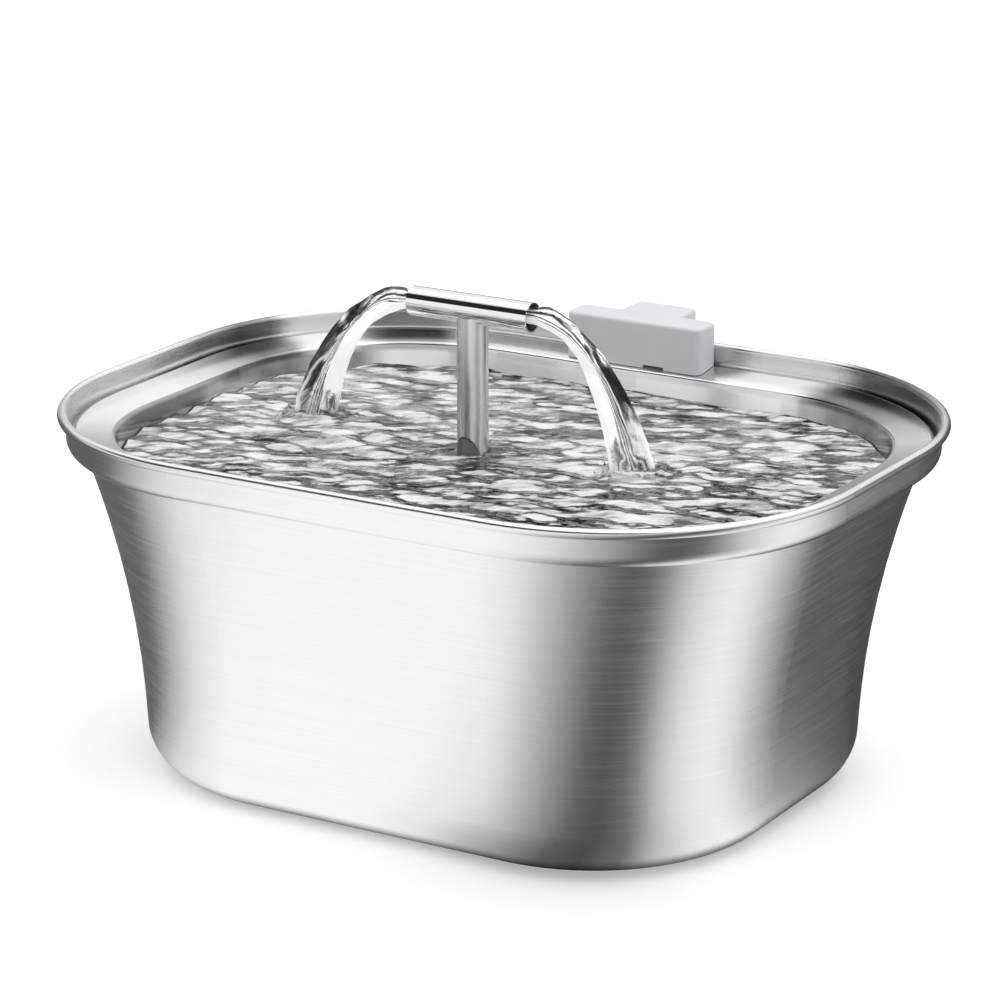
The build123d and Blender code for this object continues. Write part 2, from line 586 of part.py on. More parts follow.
def filter_lid():
    """Cover with a locating rim, a collar for the hose and a finger tab."""
    plate = extrude(box_section(0), LID_THICKNESS)
    tab_x = FAUCET_X + BOX_START - LID_TAB_REACH / 2
    tab = Pos(tab_x + BOX_CORNER / 2, 0) * extrude(
        RectangleRounded(LID_TAB_REACH + BOX_CORNER, LID_TAB_WIDTH, LID_TAB_REACH / 2), LID_THICKNESS
    )
    plate = fillet((plate + tab).faces().sort_by(Axis.Z)[-1].edges(), LID_EDGE)
    rim_inset = BOX_WALL + LID_PLAY
    rim = extrude(box_section(rim_inset) - box_section(rim_inset + LID_RIM_WALL), -LID_RIM_HEIGHT)
    bore = HOSE_DIAMETER / 2 + LID_PLAY
    collar = upright(bore + LID_COLLAR_WALL, 0, LID_THICKNESS + LID_COLLAR_HEIGHT)
    hole = upright(bore, -LID_RIM_HEIGHT, LID_THICKNESS + LID_COLLAR_HEIGHT)
    notch = cord_gap(-LID_RIM_HEIGHT, LID_THICKNESS)
    return Pos(0, 0, LID_Z) * (plate + rim + collar - hole - notch)


def filter_limits(start, length, height):
    """Limits of a filter insert that stands on the box's floor between its side walls."""
    half_width = BOX_WIDTH / 2 - BOX_WALL - FILTER_GAP
    x_range = (FAUCET_X + start, FAUCET_X + start + length)
    return x_range, (-half_width, half_width), (PUMP_Z, PUMP_Z + height)


def insert_height():
    """Height of the cartridge and the foam, up to the lid's rim."""
    return BOX_HEIGHT - BOX_WALL - LID_RIM_HEIGHT - 2 * FILTER_GAP


def cartridge_window():
    """Limits of the cartridge's window, where the carbon lies."""
    x_range, y_range, z_range = filter_limits(CARTRIDGE_START, CARTRIDGE_LENGTH, insert_height())
    window_y = (y_range[0] + CARTRIDGE_BORDER, y_range[1] - CARTRIDGE_BORDER)
    return x_range, window_y, (z_range[0] + CARTRIDGE_BORDER, z_range[1] - CARTRIDGE_BORDER)


def cartridge_frame():
    """Frame with a grille on both faces and a pull tab on top."""
    limits = filter_limits(CARTRIDGE_START, CARTRIDGE_LENGTH, insert_height())
    x_range, window_y, window_z = cartridge_window()
    inside_box = Pos(0, 0, BOX_Z) * extrude(box_section(BOX_WALL + FILTER_GAP), BOX_HEIGHT)
    frame = (block(*limits) & inside_box) - block(x_range, window_y, window_z)
    pitch = (window_y[1] - window_y[0]) / (GRILLE_BARS + 1)
    faces = ((x_range[0], x_range[0] + GRILLE_BAR), (x_range[1] - GRILLE_BAR, x_range[1]))
    bar_z = (window_z[0] - GRILLE_BAR, window_z[1] + GRILLE_BAR)
    for bar in range(1, GRILLE_BARS + 1):
        middle = window_y[0] + bar * pitch
        for face in faces:
            frame += block(face, (middle - GRILLE_BAR / 2, middle + GRILLE_BAR / 2), bar_z)
    tab_x = sum(x_range) / 2
    tab_z = (limits[2][1] - GRILLE_BAR, LID_Z - SEAT_GAP)
    tab = block(
        (tab_x - PULL_TAB_THICKNESS / 2, tab_x + PULL_TAB_THICKNESS / 2),
        (-PULL_TAB_WIDTH / 2, PULL_TAB_WIDTH / 2),
        tab_z,
    )
    return frame + tab


def cartridge_media():
    """Pad of activated carbon between the cartridge's grilles."""
    x_range, window_y, window_z = cartridge_window()
    inset = GRILLE_BAR + SNUG_FIT
    pad_x = (x_range[0] + inset, x_range[1] - inset)
    pad_y = (window_y[0] + SNUG_FIT, window_y[1] - SNUG_FIT)
    return block(pad_x, pad_y, (window_z[0] + SNUG_FIT, window_z[1] - SNUG_FIT))


def foam_block():
    """Foam prefilter between the cartridge and the pump."""
    foam = block(*filter_limits(FOAM_START, FOAM_LENGTH, insert_height()))
    return fillet(foam.edges().filter_by(Axis.X), FOAM_CORNER)


# ---------------------------------------------------------------- pump, drawn about the rotor's axis
PUMP_PLACE = Pos(FAUCET_X, 0, ROTOR_Z)
PUMP_UNDERSIDE = -ROTOR_LIFT
PUMP_TOPSIDE = PUMP_HEIGHT - ROTOR_LIFT


def pump_outline(inset=0.0):
    """Section of the pump's body as (Y, Z), moved in by inset."""
    middle = (PUMP_UNDERSIDE + PUMP_TOPSIDE) / 2
    section = Pos(0, middle) * Rectangle(PUMP_WIDTH - 2 * inset, PUMP_HEIGHT - 2 * inset)
    section = fillet(section.vertices().group_by(Axis.Y)[0], PUMP_FOOT - inset)
    return fillet(section.vertices().group_by(Axis.Y)[-1], PUMP_SHOULDER - inset)


def disc(radius, start, end):
    """Cylinder about the rotor's axis."""
    return along_x(Circle(radius), start, end)


def ring(outer, inner, start, end):
    """Ring about the rotor's axis."""
    return along_x(Circle(outer) - Circle(inner), start, end)


def kidney_slots(start, end):
    """Two curved slots about the rotor's axis: the pump's inlets."""
    middle_radius = (INLET_INNER + INLET_OUTER) / 2
    width = INLET_OUTER - INLET_INNER
    slots = Part()
    for turn in (0, 180):
        arc = CenterArc((0, 0), middle_radius, turn - INLET_SPAN / 2, INLET_SPAN)
        slots += along_x(SlotArc(arc.edge(), width), start, end)
    return slots


def stator_cavity_section(play=0.0):
    """Rectangle that holds the stator and the well's lower part, as (Y, Z)."""
    low, high = PUMP_UNDERSIDE + MOTOR_WALL + play, POLE_RISE + MOTOR_WALL - play
    width = PUMP_WIDTH - 2 * (MOTOR_WALL + play)
    return Pos(0, (low + high) / 2) * Rectangle(width, high - low)


def pump_housing():
    """Motor casing: rotor well, stator cavity open at the rear, and a seal groove at the front."""
    casing = along_x(pump_outline(), MOTOR_START, MOTOR_END)
    casing = fillet(casing.faces().sort_by(Axis.X)[-1].edges(), MOTOR_EDGE)
    cavity = along_x(stator_cavity_section(), MOTOR_START + MOTOR_FRONT, MOTOR_END)
    cavity -= disc(WELL_RADIUS + WELL_WALL, MOTOR_START, WELL_END + MOTOR_WALL)
    well = disc(WELL_RADIUS, MOTOR_START, WELL_END)
    socket = disc(SHAFT_DIAMETER / 2 + BUSH_WALL + SNUG_FIT, WELL_END, WELL_END + BUSH_LENGTH / 2)
    groove_inner = SEAL_RING_RADIUS - SEAL_RING_SECTION / 2 - SNUG_FIT
    groove_outer = SEAL_RING_RADIUS + SEAL_RING_SECTION / 2 + SNUG_FIT
    groove = ring(groove_outer, groove_inner, MOTOR_START, MOTOR_START + SEAL_RING_SECTION)
    return PUMP_PLACE * (casing - cavity - well - socket - groove)


def volute_seal():
    """Flat seal ring between the chamber and the motor."""
    outer = SEAL_RING_RADIUS + SEAL_RING_SECTION / 2
    inner = SEAL_RING_RADIUS - SEAL_RING_SECTION / 2
    return PUMP_PLACE * ring(outer, inner, MOTOR_START, MOTOR_START + SEAL_RING_SECTION)


def impeller_cover():
    """Chamber for the impeller, with the inlets in front, the bush boss and the outlet nozzle."""
    inner_face = CHAMBER_START + CHAMBER_FRONT
    body = along_x(pump_outline(), CHAMBER_START, MOTOR_START)
    body -= disc(CHAMBER_RADIUS, inner_face, MOTOR_START)
    body += disc(INLET_INNER - SNUG_FIT, CHAMBER_START, inner_face + SEAT_GAP)
    body -= kidney_slots(CHAMBER_START - SEAT_GAP, inner_face + SEAT_GAP)
    bush_seat = inner_face + SEAT_GAP - BUSH_LENGTH
    body -= disc(SHAFT_DIAMETER / 2 + BUSH_WALL + SNUG_FIT, bush_seat, inner_face + SEAT_GAP)
    nozzle = extrude(Circle(NOZZLE_DIAMETER / 2), PUMP_TOPSIDE + NOZZLE_HEIGHT)
    nozzle -= disc(CHAMBER_RADIUS, CHAMBER_START, MOTOR_START)
    bore = extrude(Circle(NOZZLE_BORE / 2), PUMP_TOPSIDE + NOZZLE_HEIGHT)
    bore -= disc(CHAMBER_RADIUS / 2, CHAMBER_START, MOTOR_START)
    return PUMP_PLACE * (body + nozzle - bore)


def strainer_cover():
    """Front cap with slots, over the flow dial."""
    cap = along_x(pump_outline(), STRAINER_START, CHAMBER_START)
    cap -= along_x(pump_outline(STRAINER_WALL), STRAINER_START + STRAINER_PLATE, CHAMBER_START)
    for offset in STRAINER_SLOT_OFFSETS:
        slot = Pos(offset, -STRAINER_SLOT_DROP) * Rot(0, 0, 90) * SlotOverall(
            STRAINER_SLOT_HEIGHT, STRAINER_SLOT
        )
        cap -= along_x(slot, STRAINER_START, STRAINER_START + STRAINER_PLATE)
    return PUMP_PLACE * (cap - disc(DIAL_STEM + SLIP_FIT, STRAINER_START, CHAMBER_START))


def flow_dial():
    """Disc that uncovers the inlets as it turns, with a stem and a ridged knob."""
    disc_end = CHAMBER_START - SEAT_GAP
    dial = disc(DIAL_RADIUS, disc_end - DIAL_THICKNESS, disc_end)
    dial -= kidney_slots(disc_end - DIAL_THICKNESS, disc_end)
    knob_end = KNOB_START + KNOB_LENGTH
    dial += disc(DIAL_STEM, knob_end, disc_end)
    knob = disc(KNOB_RADIUS, knob_end - KNOB_LENGTH / 2, knob_end)
    ridge = along_x(SlotOverall(2 * KNOB_RADIUS - KNOB_RIDGE, KNOB_RIDGE), KNOB_START, knob_end)
    return PUMP_PLACE * (dial + knob + ridge)


def rotor_shaft():
    """Ceramic shaft between the two bushes."""
    start = CHAMBER_START + CHAMBER_FRONT + SEAT_GAP - BUSH_LENGTH
    return PUMP_PLACE * disc(SHAFT_DIAMETER / 2, start, WELL_END + BUSH_LENGTH / 2)


def front_bush():
    """Rubber bush in the chamber's boss."""
    end = CHAMBER_START + CHAMBER_FRONT + SEAT_GAP
    outer = SHAFT_DIAMETER / 2 + BUSH_WALL
    return PUMP_PLACE * ring(outer, SHAFT_DIAMETER / 2 + SNUG_FIT, end - BUSH_LENGTH, end)


def rear_bush():
    """Rubber bush in the bottom of the rotor's well."""
    outer = SHAFT_DIAMETER / 2 + BUSH_WALL
    start = WELL_END - BUSH_LENGTH / 2
    return PUMP_PLACE * ring(outer, SHAFT_DIAMETER / 2 + SNUG_FIT, start, WELL_END + BUSH_LENGTH / 2)


def impeller():
    """Straight-vaned impeller with a long sleeve that carries the magnet."""
    start = CHAMBER_START + CHAMBER_FRONT + 2 * SEAT_GAP
    magnet_start = MOTOR_START + SEAT_GAP
    wheel = disc(HUB_RADIUS, start, magnet_start)
    wheel += disc(MAGNET_BORE / 2 - SNUG_FIT, magnet_start, magnet_start + MAGNET_LENGTH)
    vane_start = start + SEAT_GAP
    vane = block(
        (vane_start, vane_start + VANE_WIDTH),
        (-VANE_THICKNESS / 2, VANE_THICKNESS / 2),
        (HUB_RADIUS / 2, VANE_RADIUS),
    )
    for number in range(VANE_COUNT):
        wheel += Rot(360 * number / VANE_COUNT, 0, 0) * vane
    bore = disc(SHAFT_DIAMETER / 2 + RUNNING_FIT, start, magnet_start + MAGNET_LENGTH)
    return PUMP_PLACE * (wheel - bore)


def rotor_magnet():
    """Ring magnet on the impeller's sleeve."""
    start = MOTOR_START + SEAT_GAP
    return PUMP_PLACE * ring(WELL_RADIUS - ROTOR_AIR_GAP, MAGNET_BORE / 2, start, start + MAGNET_LENGTH)


def stator_start():
    """Station where the stator's laminations begin."""
    return MOTOR_START + MOTOR_FRONT + COIL_BUILD + SNUG_FIT


def yoke_limits():
    """Height limits of the stator's yoke."""
    low = PUMP_UNDERSIDE + MOTOR_WALL + COIL_BUILD + 2 * SNUG_FIT
    return low, low + YOKE_HEIGHT


def stator_core():
    """U-shaped stack of laminations: a yoke below and a pole on each side of the well."""
    inner = WELL_RADIUS + WELL_WALL + SNUG_FIT
    low, high = yoke_limits()
    outer = inner + POLE_WIDTH
    section = Pos(0, (low + high) / 2) * Rectangle(2 * outer, high - low)
    for side in (-1, 1):
        pole_y = side * (inner + POLE_WIDTH / 2)
        section += Pos(pole_y, (low + POLE_RISE) / 2) * Rectangle(POLE_WIDTH, POLE_RISE - low)
    start = stator_start()
    return PUMP_PLACE * along_x(section, start, start + CORE_LENGTH)


def stator_coil():
    """Winding round the yoke, between the poles."""
    half_width = WELL_RADIUS + WELL_WALL - SNUG_FIT
    low, high = yoke_limits()
    start = stator_start()
    end = start + CORE_LENGTH
    outer = block(
        (start - COIL_BUILD, end + COIL_BUILD),
        (-half_width, half_width),
        (low - COIL_BUILD, high + COIL_BUILD),
    )
    outer = fillet(outer.edges().filter_by(Axis.Y), COIL_BUILD / 2)
    window = block(
        (start - SNUG_FIT, end + SNUG_FIT), (-half_width, half_width), (low - SNUG_FIT, high + SNUG_FIT)
    )
    return PUMP_PLACE * (outer - window)


def potting_plug():
    """Cast plug that closes the stator's cavity, with a hole for the gland."""
    plug = along_x(stator_cavity_section(SNUG_FIT), MOTOR_END - POTTING_LENGTH, MOTOR_END)
    hole = Pos(0, GLAND_Y, 0) * disc(GLAND_RADIUS + SNUG_FIT, MOTOR_END - POTTING_LENGTH, MOTOR_END)
    return PUMP_PLACE * (plug - hole)


def cord_gland():
    """Rubber gland where the cord enters the pump."""
    neck = disc(GLAND_RADIUS, MOTOR_END - POTTING_LENGTH, MOTOR_END)
    cone = Cone(GLAND_RADIUS + GLAND_FLARE, GLAND_RADIUS, GLAND_LENGTH)
    sleeve = Pos(MOTOR_END + GLAND_LENGTH / 2, 0, 0) * Rot(0, 90, 0) * cone
    bore = disc(GLAND_BORE / 2, MOTOR_END - POTTING_LENGTH / 2, MOTOR_END + GLAND_LENGTH)
    return PUMP_PLACE * Pos(0, GLAND_Y, 0) * (neck + sleeve - bore)


def outlet_hose():
    """Silicone hose from the pump's nozzle to the faucet's adapter."""
    return upright_tube(HOSE_DIAMETER / 2, HOSE_BORE / 2, HOSE_Z, HOSE_TOP_Z)


# ---------------------------------------------------------------- files
PIECES = (
    tank, tray, tray_grommet,
    riser_tube, cross_tube, faucet_adapter, adapter_seal, cord_clip,
    filter_box, suction_cups, filter_lid, cartridge_frame, cartridge_media, foam_block,
    pump_housing, volute_seal, impeller_cover, strainer_cover, flow_dial,
    rotor_shaft, front_bush, rear_bush, impeller, rotor_magnet,
    stator_core, stator_coil, potting_plug, cord_gland, outlet_hose,
)

os.makedirs("parts", exist_ok=True)
for piece in PIECES:
    export_step(piece(), f"parts/{piece.__name__}.step")
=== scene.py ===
"""Pet water fountain: finishes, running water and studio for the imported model."""

import logging
import math
import random
from dataclasses import dataclass
from enum import Enum
from typing import Callable, ClassVar, Optional, Union

import bmesh
import bpy
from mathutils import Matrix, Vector


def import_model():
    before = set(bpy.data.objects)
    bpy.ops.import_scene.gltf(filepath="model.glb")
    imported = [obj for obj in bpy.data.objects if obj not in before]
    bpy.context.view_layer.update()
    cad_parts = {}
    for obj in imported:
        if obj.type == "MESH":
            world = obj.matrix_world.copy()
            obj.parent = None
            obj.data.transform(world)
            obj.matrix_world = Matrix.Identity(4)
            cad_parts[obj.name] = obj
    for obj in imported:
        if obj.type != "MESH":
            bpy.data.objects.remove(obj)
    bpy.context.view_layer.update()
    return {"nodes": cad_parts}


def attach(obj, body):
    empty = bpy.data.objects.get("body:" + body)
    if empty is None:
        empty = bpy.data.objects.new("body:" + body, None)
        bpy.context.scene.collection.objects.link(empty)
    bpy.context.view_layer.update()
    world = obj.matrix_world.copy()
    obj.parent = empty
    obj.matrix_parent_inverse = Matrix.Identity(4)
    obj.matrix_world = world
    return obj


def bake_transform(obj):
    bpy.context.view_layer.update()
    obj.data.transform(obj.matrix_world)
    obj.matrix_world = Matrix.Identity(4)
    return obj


LOG = logging.getLogger("fountain")
MM = 0.001
WATER_IOR, SILICONE_IOR = 1.333, 1.41
Point = tuple[float, float, float]
Colour = tuple[float, float, float, float]
Stops = list[tuple[float, Union[float, Colour]]]
WHITE: Colour = (1.0, 1.0, 1.0, 1.0)


# ---------------------------------------------------------------- shader maths
def maths(operation: str, reflected: bool = False) -> Callable[["Signal", "Number"], "Signal"]:
    """Makes an operator of Signal that adds one Math node.

    Args:
        operation: Blender's name of the operation.
        reflected: whether the signal stands behind the other value, as in 1 - mask.

    Returns:
        The operator.
    """

    def apply(signal: "Signal", other: "Number") -> "Signal":
        """Adds the node and gives its output."""
        first, second = (other, signal) if reflected else (signal, other)
        return signal.shader.node("ShaderNodeMath", {"operation": operation}, {0: first, 1: second})

    return apply


class Signal:
    """One output of a shader node. Arithmetic on it adds Math nodes."""

    def __init__(self, shader: "Shader", socket: bpy.types.NodeSocket) -> None:
        """Wraps an output socket of a shader."""
        self.shader = shader
        self.socket = socket

    __add__, __radd__ = maths("ADD"), maths("ADD", reflected=True)
    __sub__, __rsub__ = maths("SUBTRACT"), maths("SUBTRACT", reflected=True)
    __mul__, __rmul__ = maths("MULTIPLY"), maths("MULTIPLY", reflected=True)
    __truediv__, __pow__ = maths("DIVIDE"), maths("POWER")
    at_least, at_most = maths("MAXIMUM"), maths("MINIMUM")
    # a.turned_to(b) is the angle of the point (b, a) about the origin, in radians.
    turned_to = maths("ARCTAN2")

    def wave(self) -> "Signal":
        """Sine of this signal, moved into 0 to 1."""
        sine = self.shader.node("ShaderNodeMath", {"operation": "SINE"}, {0: self})
        return sine * 0.5 + 0.5


Number = Union[float, Signal]
Value = Union[float, tuple, Signal]


class Shader:
    """The node tree of a material or of the world."""

    def __init__(self, tree: bpy.types.NodeTree) -> None:
        """Empties the tree that the nodes go into."""
        self.tree = tree
        tree.nodes.clear()

    def node(
        self,
        kind: str,
        settings: dict[str, object],
        inputs: dict[Union[int, str], Value],
        output: Union[int, str, None] = 0,
    ) -> Optional[Signal]:
        """Adds a node.

        Args:
            kind: Blender's type name of the node.
            settings: the node's own settings, and "stops" for a ramp.
            inputs: values or signals for the node's sockets, by name or number.
            output: the output that is wanted, or None for a node without one.

        Returns:
            The wanted output.
        """
        made = self.tree.nodes.new(kind)
        for name, value in settings.items():
            if name == "stops":
                self._set_stops(made.color_ramp, value)
            else:
                setattr(made, name, value)
        for name, value in inputs.items():
            if isinstance(value, Signal):
                self.tree.links.new(value.socket, made.inputs[name])
            else:
                made.inputs[name].default_value = value
        return None if output is None else Signal(self, made.outputs[output])

    @staticmethod
    def _set_stops(ramp: bpy.types.ColorRamp, stops: Stops) -> None:
        """Gives a ramp its stops.

        Args:
            ramp: the ramp of a Color Ramp node.
            stops: pairs of a position and a grey level or a colour.
        """
        while len(ramp.elements) < len(stops):
            ramp.elements.new(1.0)
        for element, (position, level) in zip(ramp.elements, stops):
            element.position = position
            element.color = level if isinstance(level, tuple) else (level, level, level, 1.0)

    def place(self) -> Signal:
        """Object coordinates, in metres."""
        return self.node("ShaderNodeTexCoord", {}, {}, "Object")

    def noise(
        self, vector: Signal, scale: Union[float, Point], detail: float = 2.0, rough: float = 0.5
    ) -> Signal:
        """Cloudy noise between 0 and 1.

        Args:
            vector: the coordinates.
            scale: cells in each unit of the coordinates, for all axes or for each.
            detail: how many finer layers are added.
            rough: strength of the finer layers.

        Returns:
            The noise's value.
        """
        if isinstance(scale, tuple):
            vector = self.node("ShaderNodeMapping", {}, {"Vector": vector, "Scale": scale})
            scale = 1.0
        sockets = {"Vector": vector, "Scale": scale, "Detail": detail, "Roughness": rough}
        return self.node("ShaderNodeTexNoise", {}, sockets)

    def cells(self, vector: Signal, scale: float) -> Signal:
        """Distance to the nearest point of a cell pattern."""
        return self.node("ShaderNodeTexVoronoi", {}, {"Vector": vector, "Scale": scale}, "Distance")

    def ramp(self, factor: Signal, stops: Stops) -> Signal:
        """Looks a number up in a ramp of positions and levels or colours."""
        return self.node("ShaderNodeValToRGB", {"stops": stops}, {"Fac": factor})

    def mixed(self, factor: Number, first: Value, second: Value) -> Signal:
        """Colour between two colours: 0 gives the first and 1 the second."""
        return self.node("ShaderNodeMix", {"data_type": "RGBA"}, {0: factor, 6: first, 7: second}, 2)

    def relief(self, height: Signal, depth: float) -> Signal:
        """Surface normal from a height pattern of 0 to 1 and its real depth in metres."""
        return self.node("ShaderNodeBump", {}, {"Height": height, "Distance": depth}, "Normal")

    def principled(self, sockets: dict[str, Value]) -> Signal:
        """Principled shader with these socket values."""
        return self.node("ShaderNodeBsdfPrincipled", {}, sockets)

    def blended(self, share: Signal, first: Signal, second: Signal) -> Signal:
        """Shader between two shaders: 0 gives the first and 1 the second."""
        return self.node("ShaderNodeMixShader", {}, {0: share, 1: first, 2: second})

    def ray(self, kind: str) -> Signal:
        """1 where a ray of this kind sees the surface, else 0."""
        return self.node("ShaderNodeLightPath", {}, {}, f"Is {kind} Ray")

    def split(self, vector: Signal) -> tuple[Signal, Signal, Signal]:
        """The three parts of a vector."""
        parts = self.node("ShaderNodeSeparateXYZ", {}, {0: vector})
        return tuple(Signal(self, socket) for socket in parts.socket.node.outputs)

    def normal(self) -> Signal:
        """The surface's normal."""
        return self.node("ShaderNodeNewGeometry", {}, {}, "Normal")

    def around(self, vector: Signal) -> Signal:
        """Share of a turn round the upright axis to a place: 0.5 in front, rising towards +X."""
        x, y, _ = self.split(vector)
        return x.turned_to(y * -1.0) / math.tau + 0.5

    def inwards(self, place: Signal) -> Signal:
        """1 on upright faces that look towards the upright axis, else 0.

        Args:
            place: the surface's place.

        Returns:
            The mask.
        """
        x, y, _ = self.split(place)
        nx, ny, _ = self.split(self.normal())
        return self.ramp((nx * x + ny * y) * -40.0, [(0.1, 0.0), (0.4, 1.0)])


def surfaced(name: str, surface: Callable[[Shader], Signal]) -> bpy.types.Material:
    """Makes a material from any surface shader.

    Args:
        name: the material's name.
        surface: gives the surface's output from the material's node tree.

    Returns:
        The material.
    """
    material = bpy.data.materials.new(name)
    material.use_nodes = True
    shader = Shader(material.node_tree)
    shader.node("ShaderNodeOutputMaterial", {}, {"Surface": surface(shader)}, None)
    return material


def shade(base: Colour, factor: float) -> Colour:
    """An opaque colour made lighter or darker: a factor of 1 leaves it as it is."""
    return (base[0] * factor, base[1] * factor, base[2] * factor, 1.0)


def steel_tone(tone: float) -> Colour:
    """The slightly bluish grey of steel."""
    return (tone, tone, tone * 1.01, 1.0)


# ---------------------------------------------------------------- finishes
class Brush(Enum):
    """The way that the lines of brushed steel run."""

    LEVEL = (9.0, 9.0, 1300.0)
    LENGTHWISE = (9.0, 900.0, 900.0)
    UPRIGHT = (1500.0, 1500.0, 14.0)


@dataclass(frozen=True)
class Finish:
    """A procedural finish: gives either a Principled shader's sockets or a whole surface."""

    name: str

    def material(self) -> bpy.types.Material:
        """Makes the material."""
        return surfaced(self.name, self._surface)

    def _surface(self, shader: Shader) -> Signal:
        """The surface's output: one Principled shader."""
        return shader.principled(self._paint(shader))

    def _paint(self, shader: Shader) -> dict[str, Value]:
        """Socket values of the Principled shader, which each plain finish gives."""
        raise NotImplementedError(self.name)


@dataclass(frozen=True)
class BrushedSteel(Finish):
    """Stainless steel with fine lines, faint smudges and a slightly uneven sheen, with painted reflections
    and painted shade where asked.
    """

    GRAIN: ClassVar[Point] = (26.0, 26.0, 720.0)
    STREAK_SHARE: ClassVar[float] = 0.22

    brush: Brush
    tone: float = 0.87
    roughness: float = 0.24
    spread: float = 0.6
    line_tone: float = 0.1
    line_depth: float = 1.2e-5
    grain: float = 0.0
    smudge_scale: float = 16.0
    reflections_painted_above: Optional[float] = None
    shaded_below: Optional[float] = None
    columns: bool = False

    def _paint(self, shader: Shader) -> dict[str, Value]:
        """Socket values: colour, roughness and relief follow the brush lines.

        Args:
            shader: the material's node tree.

        Returns:
            Values and signals by socket name.
        """
        place = shader.place()
        wide = tuple(scale * self.STREAK_SHARE for scale in self.brush.value)
        lines = shader.noise(place, self.brush.value, 3.0, 0.65)
        streaks = shader.noise(place, wide, 2.0)
        grain = (shader.noise(place, self.GRAIN, 3.0, 0.6) - 0.5) * self.grain
        smudge = shader.noise(place, self.smudge_scale, 3.0, 0.6)
        base = steel_tone(self.tone)
        dull, bright = shade(base, 1 - self.line_tone), shade(base, 1 + self.line_tone * 0.6)
        colour = shader.mixed(lines * 0.8 + streaks * 0.2 + grain * 0.15, dull, bright)
        colour = shader.mixed(shader.ramp(smudge, [(0.45, 0.0), (0.8, 0.3)]), colour, shade(base, 0.95))
        metallic: Value = 1.0
        # Painted reflections near the rim: dark and light streaks in the colour, and the metal made partly
        # diffuse where the streaks are light.
        if self.reflections_painted_above is not None:
            dark, light = self._painted_reflections(shader, place)
            colour = shader.mixed(dark, colour, shade(base, 0.2))
            colour = shader.mixed(light, colour, shade(base, 1.12))
            metallic = 1.0 - light * 0.75
        # Painted reflections on a tube: dark and light upright columns, and the metal made partly diffuse
        # where they are light.
        if self.columns:
            dark, light = self._columns(shader, place)
            colour = shader.mixed(dark, colour, shade(base, 0.3))
            colour = shader.mixed(light, colour, shade(base, 1.1))
            metallic = 1.0 - light * 0.85
        # Painted shade on the steep inside of the dish.
        if self.shaded_below is not None:
            colour = shader.mixed(self._painted_shade(shader, place), colour, shade(base, 0.22))
        return {
            "Base Color": colour,
            "Metallic": metallic,
            "Roughness": self.roughness + (lines - 0.5) * 0.12 + (smudge - 0.5) * 0.1 + grain * 0.22,
            "Anisotropic": self.spread,
            "Anisotropic Rotation": 0.25 if self.brush is Brush.UPRIGHT else 0.0,
            "Normal": shader.relief(lines * 0.88 + streaks * 0.12 + grain * 0.3, self.line_depth),
        }

    def _painted_reflections(self, shader: Shader, place: Signal) -> tuple[Signal, Signal]:
        """Painted reflections: darker and lighter streaks on the faces near the rim that look inwards.

        Args:
            shader: the material's node tree.
            place: the surface's place.

        Returns:
            Strength of the dark streaks and of the light ones, 0 for bare steel.
        """
        z = shader.split(place)[2]
        high = shader.ramp((z - self.reflections_painted_above) / (10 * MM), [(0.0, 0.0), (0.15, 1.0)])
        where = shader.inwards(place) * high
        turn = shader.around(place) + (shader.noise(place, 14.0, 2.0) - 0.5) * 0.008
        dark = shader.ramp(turn, [
            (0.0, 0.1), (0.095, 0.1), (0.115, 0.6), (0.135, 0.65), (0.148, 0.0), (0.17, 0.0), (0.179, 0.85),
            (0.2, 1.0), (0.213, 0.55), (0.235, 0.1), (0.26, 0.0), (0.81, 0.0), (0.835, 0.4), (0.852, 0.8),
            (0.868, 1.0), (0.892, 1.0), (0.902, 0.4), (0.911, 0.0), (0.945, 0.0), (0.955, 0.4), (1.0, 0.1),
        ])
        light = shader.ramp(turn, [
            (0.0, 0.25), (0.09, 0.25), (0.103, 0.6), (0.112, 0.0), (0.146, 0.0), (0.152, 1.0), (0.17, 1.0),
            (0.182, 0.0), (0.24, 0.0), (0.26, 0.5), (0.35, 0.6), (0.5, 0.3), (0.74, 0.4), (0.82, 0.6),
            (0.835, 0.1), (0.85, 0.0), (0.9, 0.0), (0.913, 1.0), (0.942, 1.0), (0.952, 0.1), (1.0, 0.25),
        ])
        return dark * where, light * where

    def _columns(self, shader: Shader, place: Signal) -> tuple[Signal, Signal]:
        """Painted reflections: darker and lighter upright columns on a tube, set by which way its surface
        faces.

        Args:
            shader: the material's node tree.
            place: the surface's place.

        Returns:
            Strength of the dark columns and of the light ones, 0 for bare steel.
        """
        turn = shader.around(shader.normal()) + (shader.noise(place, 45.0, 2.0) - 0.5) * 0.03
        dark = shader.ramp(turn, [
            (0.0, 0.3), (0.25, 0.1), (0.34, 0.6), (0.41, 0.6), (0.45, 0.1), (0.49, 0.25), (0.515, 0.6),
            (0.54, 0.55), (0.56, 0.0), (0.62, 0.0), (0.637, 0.15), (0.655, 0.0), (0.7, 0.0), (0.73, 0.4),
            (0.76, 0.1), (0.82, 0.4), (0.9, 0.05), (1.0, 0.3),
        ])
        light = shader.ramp(turn, [
            (0.0, 0.1), (0.2, 0.5), (0.3, 0.0), (0.555, 0.0), (0.572, 1.0), (0.602, 0.95), (0.622, 0.15),
            (0.645, 0.05), (0.668, 0.75), (0.69, 0.65), (0.712, 0.0), (0.9, 0.4), (1.0, 0.1),
        ])
        return dark, light

